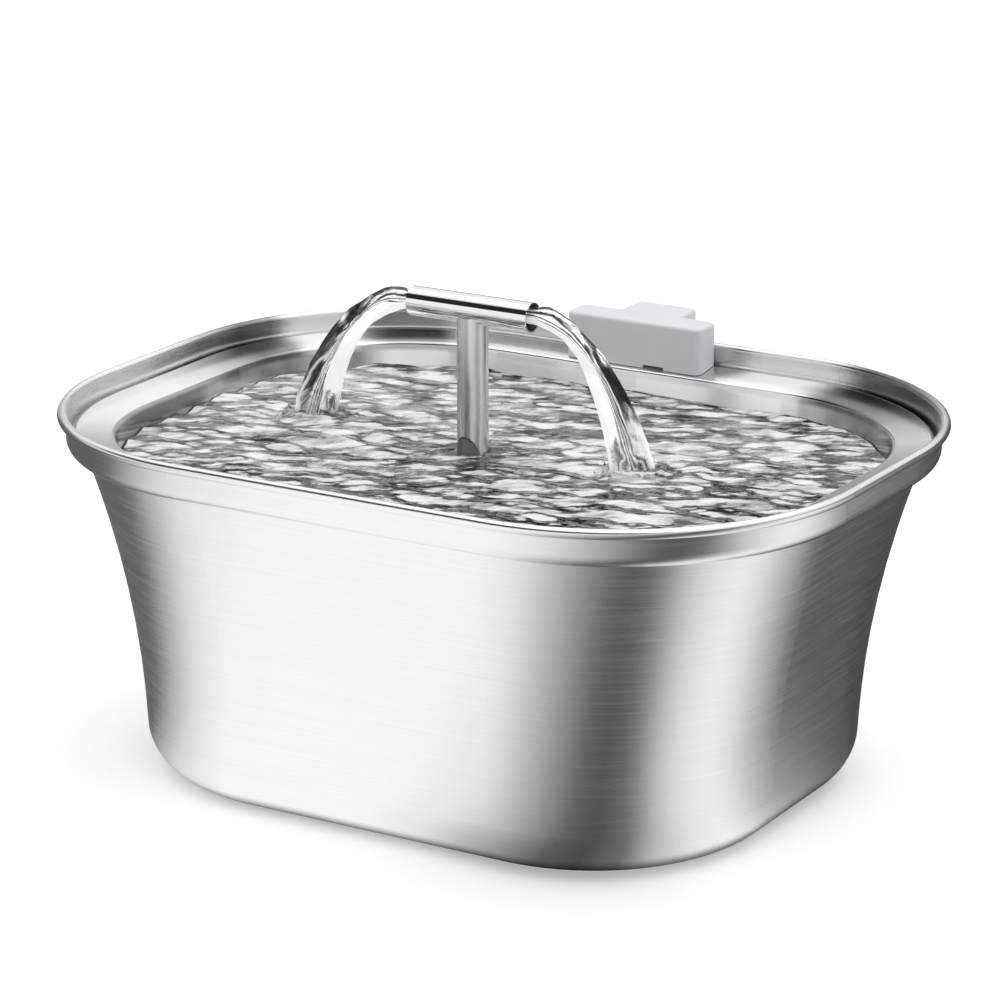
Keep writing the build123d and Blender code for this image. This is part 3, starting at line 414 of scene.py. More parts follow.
    def _painted_shade(self, shader: Shader, place: Signal) -> Signal:
        """Painted shade: darker patches on the steep inside of the dish, mostly towards its ends.

        Args:
            shader: the material's node tree.
            place: the surface's place.

        Returns:
            0 for bare steel, 1 for the darkest patch.
        """
        z = shader.split(place)[2]
        steep = shader.ramp(shader.split(shader.normal())[2], [(0.35, 1.0), (0.6, 0.0)])
        low = shader.ramp((self.shaded_below - z) / (10 * MM), [(0.0, 0.0), (0.2, 1.0)])
        turn = shader.around(place) + (shader.noise(place, 22.0, 3.0) - 0.5) * 0.02
        patches = shader.ramp(turn, [
            (0.0, 0.1), (0.13, 0.25), (0.15, 0.0), (0.172, 0.05), (0.185, 0.4), (0.235, 0.3), (0.25, 0.85),
            (0.3, 0.9), (0.35, 0.5), (0.5, 0.3), (0.7, 0.4), (0.79, 0.4), (0.82, 0.8), (0.87, 0.85),
            (0.89, 0.5), (0.905, 0.0), (1.0, 0.0),
        ])
        return patches * shader.inwards(place) * steep * low


@dataclass(frozen=True)
class PolishedSteel(Finish):
    """Mirror-bright steel with faint water marks and polishing haze."""

    tone: float = 0.9
    roughness: float = 0.035
    bore: float = 5.6 * MM
    axis_z: float = 188.3 * MM

    def _paint(self, shader: Shader) -> dict[str, Value]:
        """Socket values: haze changes the roughness, marks the colour.

        Args:
            shader: the material's node tree.

        Returns:
            Values and signals by socket name.
        """
        place = shader.place()
        haze = shader.noise(place, (30.0, 400.0, 400.0), 3.0)
        marks = shader.ramp(shader.cells(place, 170.0), [(0.1, 1.0), (0.22, 0.0)])
        base = steel_tone(self.tone)
        colour = shader.mixed(haze * 0.6 + marks * 0.25, base, shade(base, 0.93))
        # Within the bore's radius the steel is rough and unpolished, and its colour is darkened there as
        # painted shade.
        _, y, z = shader.split(place)
        off_axis = ((y * y + (z - self.axis_z) ** 2.0) ** 0.5) / self.bore
        unpolished_and_shaded = shader.ramp(off_axis, [(0.97, 1.0), (1.0, 0.0)])
        rough = self.roughness + haze * 0.03 + marks * 0.03 + unpolished_and_shaded * 0.4
        return {
            "Base Color": shader.mixed(unpolished_and_shaded, colour, shade(base, 0.1)),
            "Metallic": 1.0,
            "Roughness": rough,
            "Normal": shader.relief(haze, 6e-6),
        }


@dataclass(frozen=True)
class MouldedPlastic(Finish):
    """Injection-moulded plastic with a fine texture, cloudy tone and rubbed edges."""

    colour: Colour
    roughness: float = 0.42
    grain_pitch: float = 0.45 * MM
    grain_depth: float = 1.5e-5
    rubbed: float = 0.35
    coat: float = 0.0

    def _paint(self, shader: Shader) -> dict[str, Value]:
        """Socket values: grain in the relief, cloud in the tone and a rub along edges.

        Args:
            shader: the material's node tree.

        Returns:
            Values and signals by socket name.
        """
        place = shader.place()
        grain = shader.noise(place, 1 / self.grain_pitch, 2.0, 0.6)
        cloud = shader.noise(place, 45.0, 3.0)
        colour = shader.mixed(cloud, shade(self.colour, 0.94), shade(self.colour, 1.05))
        speck = shader.ramp(grain, [(0.62, 0.0), (0.75, 0.5)])
        colour = shader.mixed(speck, colour, shade(self.colour, 0.9))
        rub = self._edge(shader)
        worn = shade(self.colour, 1.25 if self.colour[0] < 0.5 else 1.07)
        colour = shader.mixed(rub * self.rubbed, colour, worn)
        return {
            "Base Color": colour,
            "Roughness": self.roughness + (cloud - 0.5) * 0.14 - rub * 0.08,
            "Coat Weight": self.coat,
            "Normal": shader.relief(grain, self.grain_depth),
        }

    @staticmethod
    def _edge(shader: Shader) -> Signal:
        """Mask that is 1 along edges, from the difference between the bevelled and the true normal.

        Args:
            shader: the material's node tree.

        Returns:
            The mask, broken up by noise.
        """
        soft = shader.node("ShaderNodeBevel", {"samples": 4}, {"Radius": 0.9 * MM})
        vectors = {0: soft, 1: shader.normal()}
        same = shader.node("ShaderNodeVectorMath", {"operation": "DOT_PRODUCT"}, vectors, "Value")
        broken = shader.noise(shader.place(), 260.0, 2.0)
        return ((1.0 - same) * 6.0 * (broken + 0.3)).at_most(1.0).at_least(0.0)


@dataclass(frozen=True)
class Rubber(Finish):
    """Silicone or rubber: soft sheen, dusty tone and a very fine skin."""

    colour: Colour
    roughness: float = 0.55
    clear: float = 0.0

    def _paint(self, shader: Shader) -> dict[str, Value]:
        """Socket values: dust lightens the tone and dulls the sheen.

        Args:
            shader: the material's node tree.

        Returns:
            Values and signals by socket name.
        """
        place = shader.place()
        dust = shader.noise(place, 120.0, 4.0, 0.65)
        skin = shader.noise(place, 1600.0, 2.0)
        return {
            "Base Color": shader.mixed(dust, shade(self.colour, 0.86), shade(self.colour, 1.14)),
            "Roughness": self.roughness + (dust - 0.5) * 0.2,
            "Transmission Weight": self.clear,
            "IOR": SILICONE_IOR,
            "Normal": shader.relief(skin, 1.2e-5),
        }


@dataclass(frozen=True)
class Porous(Finish):
    """Foam or granules: open cells, with painted shade in the gaps between them."""

    colour: Colour
    cell: float
    depth: float
    gloss: float = 0.0

    def _paint(self, shader: Shader) -> dict[str, Value]:
        """Socket values: the cell pattern shades the colour and drives the relief.

        Args:
            shader: the material's node tree.

        Returns:
            Values and signals by socket name.
        """
        place = shader.place()
        cloud = shader.noise(place, 0.4 / self.cell, 2.0)
        cells = shader.cells(place, 1 / self.cell)
        fine = shader.cells(place, 2.7 / self.cell)
        body = cells * 0.7 + fine * 0.3
        # Painted shade: the colour darkens from the cells' tops into the gaps between them.
        depth = shader.ramp(body, [(0.1, 0.0), (0.6, 1.0)])
        colour = shader.mixed(depth, shade(self.colour, 1.35), shade(self.colour, 0.3))
        return {
            "Base Color": shader.mixed(cloud * 0.3, colour, shade(self.colour, 1.1)),
            "Roughness": 0.95 - self.gloss * (1.0 - body),
            "Normal": shader.relief(1.0 - body, self.depth),
        }


class Layers(Enum):
    """The axis along which thin layers or wires are stacked."""

    ALONG_X = 0
    ALONG_Y = 1


@dataclass(frozen=True)
class Layered(Finish):
    """Metal in thin layers, such as laminations or a wire winding."""

    colour: Colour
    layers: Layers
    pitch: float
    metallic: float = 1.0
    roughness: float = 0.4

    def _paint(self, shader: Shader) -> dict[str, Value]:
        """Socket values: rounded ridges one pitch apart, darker between them.

        Args:
            shader: the material's node tree.

        Returns:
            Values and signals by socket name.
        """
        place = shader.place()
        along = shader.split(place)[self.layers.value]
        wander = shader.noise(place, 90.0, 2.0)
        ridge = (along / (self.pitch / math.tau) + wander * 0.6).wave()
        tarnish = shader.noise(place, 210.0, 3.0)
        colour = shader.mixed(ridge, shade(self.colour, 0.35), shade(self.colour, 1.1))
        return {
            "Base Color": shader.mixed(tarnish * 0.5, colour, shade(self.colour, 0.6)),
            "Metallic": self.metallic,
            "Roughness": self.roughness + tarnish * 0.15,
            "Normal": shader.relief(ridge, self.pitch * 0.2),
        }


@dataclass(frozen=True)
class Water(Finish):
    """Clean moving water: clear, with fine ripples over the modelled waves."""

    ripple: float
    ripple_depth: float

    def _paint(self, shader: Shader) -> dict[str, Value]:
        """Socket values: two layers of ripples and a trace of tiny bubbles.

        Args:
            shader: the material's node tree.

        Returns:
            Values and signals by socket name.
        """
        place = shader.place()
        swell = shader.noise(place, 1 / self.ripple, 2.0, 0.55)
        fine = shader.noise(place, 3.1 / self.ripple, 1.0)
        bubbles = shader.ramp(shader.noise(place, 900.0, 1.0), [(0.72, 0.0), (0.8, 1.0)])
        return {
            "Base Color": shader.mixed(bubbles * 0.2, (0.985, 0.995, 1.0, 1.0), (0.9, 0.93, 0.95, 1.0)),
            "Roughness": bubbles * 0.08,
            "Transmission Weight": 1.0,
            "IOR": WATER_IOR,
            "Normal": shader.relief(swell * 0.75 + fine * 0.25, self.ripple_depth),
        }


@dataclass(frozen=True)
class WaterWithPaintedGlare(Water):
    """Water in a running dish: clear, with painted shade patches in its tint and pale patches of painted
    reflection on one flank of its waves.
    """

    PATCHES: ClassVar[Point] = (48.0, 170.0, 1.0)
    SHADOWS: ClassVar[Point] = (36.0, 130.0, 1.0)

    flank: tuple[float, float] = (0.51, -0.86)
    painted_glare: float = 0.85

    def _surface(self, shader: Shader) -> Signal:
        """Clear water with painted shade patches, and pale water with a faint glow, a painted reflection,
        where the waves lean towards one side.

        Args:
            shader: the material's node tree.

        Returns:
            The surface's output.
        """
        place = shader.place()
        nx, ny, nz = shader.split(shader.normal())
        x, y, _ = shader.split(place)
        across = x * -self.flank[1] + y * self.flank[0]
        along = x * self.flank[0] + y * self.flank[1]
        grid = shader.node("ShaderNodeCombineXYZ", {}, {0: across, 1: along, 2: 0.0})
        break_up = shader.noise(grid, self.PATCHES, 6.0, 0.7)
        # Painted reflection: facets that lean one way turn pale.
        lean = nx * self.flank[0] + ny * self.flank[1] + (break_up - 0.5) * 0.95
        pale = shader.ramp(lean + 0.5, [(0.545, 0.0), (0.565, 0.75), (0.62, 1.0)])
        top = shader.ramp(nz, [(0.3, 0.0), (0.6, 1.0)])
        shadows = shader.noise(grid, self.SHADOWS, 5.0, 0.68)
        painted_dark_water = self._paint(shader)
        # Painted shade: darker patches in the clear water's tint.
        painted_dark_water["Base Color"] = shader.ramp(shadows, [(0.43, 0.1), (0.49, 0.4), (0.54, 1.0)])
        clear = shader.principled(painted_dark_water)
        painted_glare_water = shader.principled({
            "Base Color": shader.ramp(break_up, [(0.4, 0.35), (0.52, 0.8), (0.6, 1.0)]),
            # Painted glow on the pale water.
            "Emission Color": shader.ramp(break_up, [(0.45, 0.0), (0.6, 1.0)]),
            "Emission Strength": 0.1,
            "Roughness": 0.1 + break_up * 0.2,
            "Normal": shader.relief(break_up, 0.4 * MM),
        })
        return shader.blended(pale * top * self.painted_glare, clear, painted_glare_water)


@dataclass(frozen=True)
class FallingWater(Finish):
    """A falling stream: clear with wavy lengthwise lines outside, painted dark as reflections, and white with
    air inside, lifted by a painted glow.
    """

    FLOW: ClassVar[str] = "flow"

    lines: float = 19.0

    def _surface(self, shader: Shader) -> Signal:
        """Clear water, painted dark lines and aerated water with a painted glow, mixed by where they are on
        the stream.

        Args:
            shader: the material's node tree.

        Returns:
            The surface's output.
        """
        flow = shader.node("ShaderNodeAttribute", {"attribute_name": self.FLOW}, {}, "Vector")
        outwards, _, along = shader.split(flow)
        sway = shader.noise(flow, (1.1, 1.1, 5.0), 2.0, 0.45)
        line = (outwards * self.lines + sway * 10.0).wave()
        glassy = shader.ramp(along, [(0.0, 0.0), (0.6, 0.2), (0.82, 0.36), (0.92, 1.0)])
        # Painted reflections: the dark lines are near-black water, and the clear water's tint darkens along
        # them too.
        dark = shader.ramp(line, [(0.08, 0.95), (0.36, 0.0)]) * (1.0 - glassy * 0.9)
        # Painted shade: the stream is dark at its mouth, by the bore.
        mouth = shader.ramp(along, [(0.03, 0.85), (0.055, 0.0)])
        painted_dark_water = shader.principled({
            "Base Color": shader.mixed(line, (0.015, 0.016, 0.018, 1.0), (0.06, 0.06, 0.065, 1.0)),
            "Roughness": 0.04 + sway * 0.08,
            "Normal": shader.relief(line, 0.3 * MM),
        })
        clear = shader.principled({
            "Base Color": shader.ramp(line, [(0.0, 0.25), (0.25, 0.6), (0.5, 0.9), (0.75, 1.0)]),
            "Roughness": 0.02 + line * 0.04,
            "Transmission Weight": 1.0,
            "IOR": WATER_IOR,
            "Normal": shader.relief(line, 0.5 * MM),
        })
        airy_and_glowing = shader.principled({
            "Base Color": shader.mixed(sway, (0.93, 0.94, 0.95, 1.0), WHITE),
            "Roughness": 0.12 + sway * 0.1,
            # Painted glow on the aerated water.
            "Emission Color": WHITE,
            "Emission Strength": 0.45,
            "Normal": shader.relief(line, 0.1 * MM),
        })
        reach = outwards + glassy * 1.5 + (sway - 0.5) * 1.1
        share = shader.ramp(reach * 0.5 + 0.5, [(0.5, 1.0), (0.56, 0.0)])
        # Painted glints along the lines' crests.
        gleam = shader.ramp(line, [(0.78, 0.0), (0.97, 0.55)])
        lined = shader.blended(dark.at_least(mouth), clear, painted_dark_water)
        return shader.blended(share.at_least(gleam), lined, airy_and_glowing)


# ---------------------------------------------------------------- modelling by hand
def clear_way() -> None:
    """Leaves edit mode and selects nothing, before a new primitive."""
    if bpy.context.object and bpy.context.object.mode != "OBJECT":
        bpy.ops.object.mode_set(mode="OBJECT")
    bpy.ops.object.select_all(action="DESELECT")


class Form:
    """A mesh that is shaped step by step with Blender's own operators."""

    DOUBLES: ClassVar[float] = 0.001 * MM
    SAME_LEVEL: ClassVar[float] = 0.01 * MM

    piece: bpy.types.Object

    def __init__(self, name: str) -> None:
        """Clears the way for the primitive that becomes the piece.

        Args:
            name: the piece's name.
        """
        self.name = name
        clear_way()

    def adopt(self) -> None:
        """Takes the new primitive as this form's mesh and opens it for shaping."""
        self.piece = bpy.context.object
        self.piece.name = self.name
        self.piece.data.name = self.name
        bpy.ops.object.transform_apply(location=True, rotation=True, scale=True)
        bpy.ops.object.mode_set(mode="EDIT")

    def adopt_empty(self) -> None:
        """Starts from an empty mesh, for outlines."""
        bpy.ops.mesh.primitive_plane_add(size=0.01)
        self.adopt()
        bpy.ops.mesh.delete(type="VERT")

    def choose_edges(self, height: float) -> None:
        """Selects the level edges at a height.

        Args:
            height: the height.
        """
        bpy.ops.mesh.select_mode(type="EDGE")
        bpy.ops.mesh.select_all(action="DESELECT")
        shape = bmesh.from_edit_mesh(self.piece.data)
        for edge in shape.edges:
            middle = (edge.verts[0].co + edge.verts[1].co) / 2
            edge.select_set(abs(middle.z - height) < self.SAME_LEVEL)
        shape.select_flush_mode()
        bmesh.update_edit_mesh(self.piece.data)

    def ring(self, length: float, width: float, corner: float, height: float, steps: int) -> None:
        """Adds an outline: a plane with rounded corners and no face.

        Args:
            length: along X.
            width: along Y.
            corner: corner radius.
            height: level of the outline.
            steps: segments in each corner.
        """
        bpy.ops.mesh.select_all(action="DESELECT")
        bpy.ops.mesh.primitive_plane_add(size=1.0, location=(0, 0, height))
        bpy.ops.transform.resize(value=(length, width, 1.0), center_override=(0, 0, height))
        bpy.ops.mesh.bevel(affect="VERTICES", offset=corner, segments=steps)
        bpy.ops.mesh.delete(type="ONLY_FACE")

    def enter(self, mode: str) -> None:
        """Enters "EDIT" or "OBJECT" mode, if the piece isn't in it."""
        if self.piece.mode != mode:
            bpy.ops.object.mode_set(mode=mode)

    def select_all(self) -> None:
        """Selects every part of the mesh, in edit mode."""
        self.enter("EDIT")
        bpy.ops.mesh.select_all(action="SELECT")

    def modify(self, kind: str, **settings: object) -> None:
        """Adds a modifier and applies it.

        Args:
            kind: Blender's type name of the modifier.
            settings: the modifier's settings.
        """
        self.enter("OBJECT")
        modifier = self.piece.modifiers.new(kind.lower(), kind)
        for name, value in settings.items():
            setattr(modifier, name, value)
        bpy.context.view_layer.objects.active = self.piece
        bpy.ops.object.modifier_apply(modifier=modifier.name)

    def roughen(self, size: float, height: float, direction: str = "NORMAL", where: str = "") -> None:
        """Moves the surface by a cloud pattern.

        Args:
            size: size of the clouds.
            height: how far the surface moves.
            direction: "NORMAL" or an axis.
            where: vertex group that weighs the movement, or "" for the whole surface.
        """
        clouds = bpy.data.textures.new(self.name, "CLOUDS")
        clouds.noise_scale = size
        clouds.noise_depth = 1
        settings = {"texture": clouds, "strength": height, "direction": direction, "vertex_group": where}
        self.modify("DISPLACE", mid_level=0.5, **settings)
        bpy.data.textures.remove(clouds)

    def close(self, finish: bpy.types.Material, smooth: float) -> bpy.types.Object:
        """Ends the shaping: merges doubles, turns normals outwards and smooths the faces.

        Args:
            finish: the piece's material.
            smooth: edges sharper than this many degrees stay sharp.

        Returns:
            The finished piece, not yet on a body.
        """
        self.select_all()
        bpy.ops.mesh.remove_doubles(threshold=self.DOUBLES)
        bpy.ops.mesh.normals_make_consistent(inside=False)
        self.enter("OBJECT")
        bpy.ops.object.shade_smooth_by_angle(angle=math.radians(smooth))
        self.piece.data.materials.clear()
        self.piece.data.materials.append(finish)
        self.piece.select_set(False)
        return self.piece


# ---------------------------------------------------------------- carried-over pieces
Wearers = dict[Finish, tuple[str, ...]]


class Wardrobe:
    """Gives CAD pieces their finishes, making each finish once."""

    def __init__(self, nodes: dict[str, bpy.types.Object]) -> None:
        """Keeps the CAD pieces.

        Args:
            nodes: the CAD pieces by name.
        """
        self.nodes = nodes
        self.made: dict[str, bpy.types.Material] = {}

    def material(self, finish: Finish) -> bpy.types.Material:
        """The material of a finish.

        Args:
            finish: the finish that is wanted.

        Returns:
            The material, made on first use.
        """
        if finish.name not in self.made:
            self.made[finish.name] = finish.material()
        return self.made[finish.name]

    def dress(self, finish: Finish, *names: str) -> None:
        """Puts a finish on CAD pieces.

        Args:
            finish: the finish.
            names: the pieces' names.
        """
        for name in names:
            piece = self.nodes[name]
            piece.data.materials.clear()
            piece.data.materials.append(self.material(finish))
            LOG.info("dressed %s in %s", name, finish.name)


@dataclass
class Assembly:
    """A sub-assembly of CAD pieces, whose fields are its finishes."""

    def wearers(self) -> Wearers:
        """The assembly's pieces by the finish that they wear."""
        raise NotImplementedError

    def dress(self, wardrobe: Wardrobe) -> None:
        """Dresses the assembly's pieces.

        Args:
            wardrobe: the CAD pieces and their materials.
        """
        for finish, names in self.wearers().items():
            wardrobe.dress(finish, *names)


@dataclass
class Vessel(Assembly):
    """The steel tank and the tray that hangs in it."""

    # Painted reflections near the rim on the tank and the tray, and painted shade inside the tray's dish.
    tank_steel: BrushedSteel = BrushedSteel("brushed_steel_wall", Brush.LEVEL, grain=1.0, reflections_painted_above=0.134)
    tray_steel: BrushedSteel = BrushedSteel(
        "satin_steel_tray", Brush.LENGTHWISE, tone=0.92, roughness=0.16, spread=0.3, line_depth=4e-6,
        reflections_painted_above=0.1355, shaded_below=0.1385,
    )
    grommet: Rubber = Rubber("grey_silicone", (0.62, 0.63, 0.65, 1.0), 0.4, 0.25)

    def wearers(self) -> Wearers:
        """The assembly's pieces by the finish that they wear."""
        return {
            self.tank_steel: ("tank",),
            self.tray_steel: ("tray",),
            self.grommet: ("tray_grommet", "suction_cups", "outlet_hose"),
        }


@dataclass
class Faucet(Assembly):
    """The upright tube, the cross tube and the plastic foot between tray and tube."""

    # The riser's steel carries painted reflections in upright columns.
    riser_steel: BrushedSteel = BrushedSteel(
        "satin_steel_tube", Brush.UPRIGHT, tone=0.9, roughness=0.25, spread=0.35,
        line_tone=0.03, line_depth=2e-6, columns=True,
    )
    cross_steel: PolishedSteel = PolishedSteel("polished_steel_tube")
    foot_plastic: MouldedPlastic = MouldedPlastic("slate_plastic", (0.17, 0.18, 0.21, 1.0), 0.38)
    seal_rubber: Rubber = Rubber("black_rubber", (0.03, 0.03, 0.032, 1.0))

    def wearers(self) -> Wearers:
        """The assembly's pieces by the finish that they wear."""
        return {
            self.riser_steel: ("riser_tube",),
            self.cross_steel: ("cross_tube",),
            self.foot_plastic: ("faucet_adapter",),
            self.seal_rubber: ("adapter_seal",),
        }


@dataclass
class Clip(Assembly):
    """The cord clip over the rim."""

    plastic: MouldedPlastic = MouldedPlastic("lavender_grey_plastic", (0.81, 0.815, 0.86, 1.0), 0.45)

    def wearers(self) -> Wearers:
        """The assembly's pieces by the finish that they wear."""
        return {
            self.plastic: ("cord_clip",),
        }


@dataclass
class FilterModule(Assembly):
    """The filter box with its lid, cartridge and foam."""

    box_plastic: MouldedPlastic = MouldedPlastic("box_plastic", (0.36, 0.37, 0.39, 1.0), 0.4)
    lid_plastic: MouldedPlastic = MouldedPlastic("lid_plastic", (0.42, 0.43, 0.46, 1.0), 0.36)
    frame_plastic: MouldedPlastic = MouldedPlastic("white_plastic", (0.76, 0.76, 0.75, 1.0), 0.35)
    carbon: Porous = Porous("carbon_granules", (0.03, 0.03, 0.032, 1.0), 1.3 * MM, 0.5 * MM, 0.45)
    foam: Porous = Porous("open_foam", (0.035, 0.06, 0.13, 1.0), 1.1 * MM, 0.7 * MM)

    def wearers(self) -> Wearers:
        """The assembly's pieces by the finish that they wear."""
        return {
            self.box_plastic: ("filter_box",),
            self.lid_plastic: ("filter_lid",),
            self.frame_plastic: ("cartridge_frame",),
            self.carbon: ("cartridge_media",),
            self.foam: ("foam_block",),
        }


@dataclass
class Pump(Assembly):
    """The submersible pump with its rotor, stator and dial."""

    casing: MouldedPlastic = MouldedPlastic("black_plastic", (0.022, 0.022, 0.025, 1.0), 0.4, rubbed=0.6)
    dial: MouldedPlastic = MouldedPlastic("grey_gloss_plastic", (0.5, 0.51, 0.54, 1.0), 0.22, coat=0.3)
    wheel: MouldedPlastic = MouldedPlastic("white_gloss_plastic", (0.72, 0.73, 0.76, 1.0), 0.2, coat=0.3)
    ceramic: MouldedPlastic = MouldedPlastic(
        "ceramic", (0.82, 0.8, 0.74, 1.0), 0.12, grain_pitch=0.2 * MM, grain_depth=4e-6, rubbed=0.1, coat=0.4
    )
    epoxy: MouldedPlastic = MouldedPlastic(
        "cast_epoxy", (0.02, 0.02, 0.024, 1.0), 0.12,
        grain_pitch=1.8 * MM, grain_depth=4e-5, rubbed=0.2, coat=0.6,
    )
    magnet: Layered = Layered("ground_ferrite", (0.09, 0.09, 0.1, 1.0), Layers.ALONG_X, 0.35 * MM, 0.6, 0.5)
    core: Layered = Layered("laminated_steel", (0.3, 0.3, 0.31, 1.0), Layers.ALONG_X, 0.5 * MM)
    winding: Layered = Layered(
        "enamelled_wire", (0.62, 0.22, 0.07, 1.0), Layers.ALONG_Y, 0.45 * MM, metallic=0.85, roughness=0.25
    )
    rubber: Rubber = Rubber("black_rubber", (0.03, 0.03, 0.032, 1.0))

    def wearers(self) -> Wearers:
        """The assembly's pieces by the finish that they wear."""
        return {
            self.casing: ("pump_housing", "impeller_cover", "strainer_cover"),
            self.dial: ("flow_dial",),
            self.wheel: ("impeller",),
            self.ceramic: ("rotor_shaft",),
            self.epoxy: ("potting_plug",),
            self.magnet: ("rotor_magnet",),
            self.core: ("stator_core",),
            self.winding: ("stator_coil",),
            self.rubber: ("volute_seal", "front_bush", "rear_bush", "cord_gland"),
        }


# ---------------------------------------------------------------- running water
@dataclass
class DishWater:
    """The water in the tray's dish, cut to the dish's inside and round the faucet's foot."""

    OPEN: ClassVar[str] = "open_water"
    # The dish's inside: how far it lies within the rim and how high above its floor, in millimetres.
    SECTIONS: ClassVar[tuple[tuple[float, float], ...]] = (
        (31.6, 0.0), (28.6, 0.8), (26.6, 2.6), (25.2, 5.0), (23.0, 18.0)
    )

    level: float = 130.0 * MM
    floor: float = 123.15 * MM
    length: float = 340.0 * MM
    width: float = 267.0 * MM
    corner: float = 102.0 * MM
    foot_x: float = -13.5 * MM
    foot_radius: float = 7.45 * MM
    cell: float = 1.5 * MM
    swell_size: float = 11.0 * MM
    swell_height: float = 3.0 * MM
    chop_size: float = 4.2 * MM
    chop_height: float = 1.1 * MM
    stretch: float = 2.1
    calm_radius: float = 11.0 * MM
    calm_edge: float = 14.0 * MM
    calmest: float = 0.08
    margin: float = 20.0 * MM
    depth: float = 30.0 * MM
    ring_height: float = 1.3 * MM
    ring_width: float = 9.0 * MM
    ring_reach: float = 70.0 * MM
    ring_sharpness: float = 125.0
    finish: WaterWithPaintedGlare = WaterWithPaintedGlare("dish_water", 5.0 * MM, 0.12 * MM)

    def _mark_open_water(self, form: Form) -> None:
        """Weighs the sheet's points: still beside the faucet's foot, free further out.

        Args:
            form: the water's sheet.
        """
        form.enter("OBJECT")
        group = form.piece.vertex_groups.new(name=self.OPEN)
        foot = Vector((self.foot_x, 0, self.level))
        for vertex in form.piece.data.vertices:
            share = ((vertex.co - foot).length - self.calm_radius) / self.calm_edge
            group.add([vertex.index], min(max(share, self.calmest), 1.0), "REPLACE")

    @staticmethod
    def _lengthen(form: Form, factor: float) -> None:
        """Stretches the sheet along the dish, so that waves made in between grow longer.

        Args:
            form: the water's sheet.
            factor: along X.
        """
        form.select_all()
        bpy.ops.transform.resize(value=(factor, 1.0, 1.0), center_override=(0, 0, 0))
        form.enter("OBJECT")

    def _core(self) -> bpy.types.Object:
        """Block with the inside shape of the dish, less the faucet's foot.

        Returns:
            The block, for cutting the water with.
        """
        form = Form("dish_core")
        form.adopt_empty()
        for inset, height in self.SECTIONS:
            inset *= MM
            length, width = self.length - 2 * inset, self.width - 2 * inset
            form.ring(length, width, self.corner - inset, self.floor + height * MM, 14)
        form.select_all()
        bpy.ops.mesh.bridge_edge_loops()
        for _, height in (self.SECTIONS[0], self.SECTIONS[-1]):
            form.choose_edges(self.floor + height * MM)
            bpy.ops.mesh.edge_face_add()
        form.select_all()
        bpy.ops.mesh.normals_make_consistent(inside=False)
        form.enter("OBJECT")
        return form.piece

    def _post(self) -> bpy.types.Object:
        """Round post where the faucet's foot stands, for cutting the water with."""
        clear_way()
        bpy.ops.mesh.primitive_cylinder_add(
            vertices=48, radius=self.foot_radius, depth=2 * self.depth, location=(self.foot_x, 0, self.level)
        )
        return bpy.context.object

    def build(self, feet: list[Vector], wardrobe: Wardrobe) -> bpy.types.Object:
        """Models the water: a waved sheet with depth, cut to the dish.

        Args:
            feet: where the streams meet the water.
            wardrobe: makes the finish.

        Returns:
            The water.
        """
        core, post = self._core(), self._post()
        form = Form("dish_water")
        length, width = self.length - 2 * self.margin, self.width - 2 * self.margin
        bpy.ops.mesh.primitive_grid_add(
            x_subdivisions=int(length / self.cell), y_subdivisions=int(width / self.cell),
            size=1.0, location=(0, 0, self.level),
        )
        form.adopt()
        bpy.ops.transform.resize(value=(length, width, 1.0))
        self._mark_open_water(form)
        self._lengthen(form, 1 / self.stretch)
        form.roughen(self.swell_size, self.swell_height, "Z", self.OPEN)
        form.roughen(self.chop_size, self.chop_height, "Z", self.OPEN)
        self._lengthen(form, self.stretch)
        for foot in feet:
            form.modify(
                "WAVE", vertex_group=self.OPEN, start_position_x=foot.x, start_position_y=foot.y,
                time_offset=-60.0, lifetime=0.0, speed=0.0016, height=self.ring_height,
                width=self.ring_width, narrowness=self.ring_sharpness, falloff_radius=self.ring_reach,
            )
        form.select_all()
        bpy.ops.mesh.extrude_region_move(TRANSFORM_OT_translate={"value": (0, 0, -self.depth)})
        bpy.ops.transform.resize(value=(1.0, 1.0, 0.0))
        bpy.ops.mesh.dissolve_limited(angle_limit=0.01)
        form.select_all()
        bpy.ops.mesh.normals_make_consistent(inside=False)
        form.modify("BOOLEAN", operation="INTERSECT", object=core, solver="EXACT")
        form.modify("BOOLEAN", operation="DIFFERENCE", object=post, solver="EXACT")
        for tool in (core, post):
            bpy.data.objects.remove(tool)
        LOG.info("dish water has %d faces", len(form.piece.data.polygons))
        water = form.close(wardrobe.material(self.finish), 50.0)
        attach(water, "tray")
        return water


class Side(Enum):
    """The end of the cross tube that a stream leaves from."""

    LEFT = -1
    RIGHT = 1


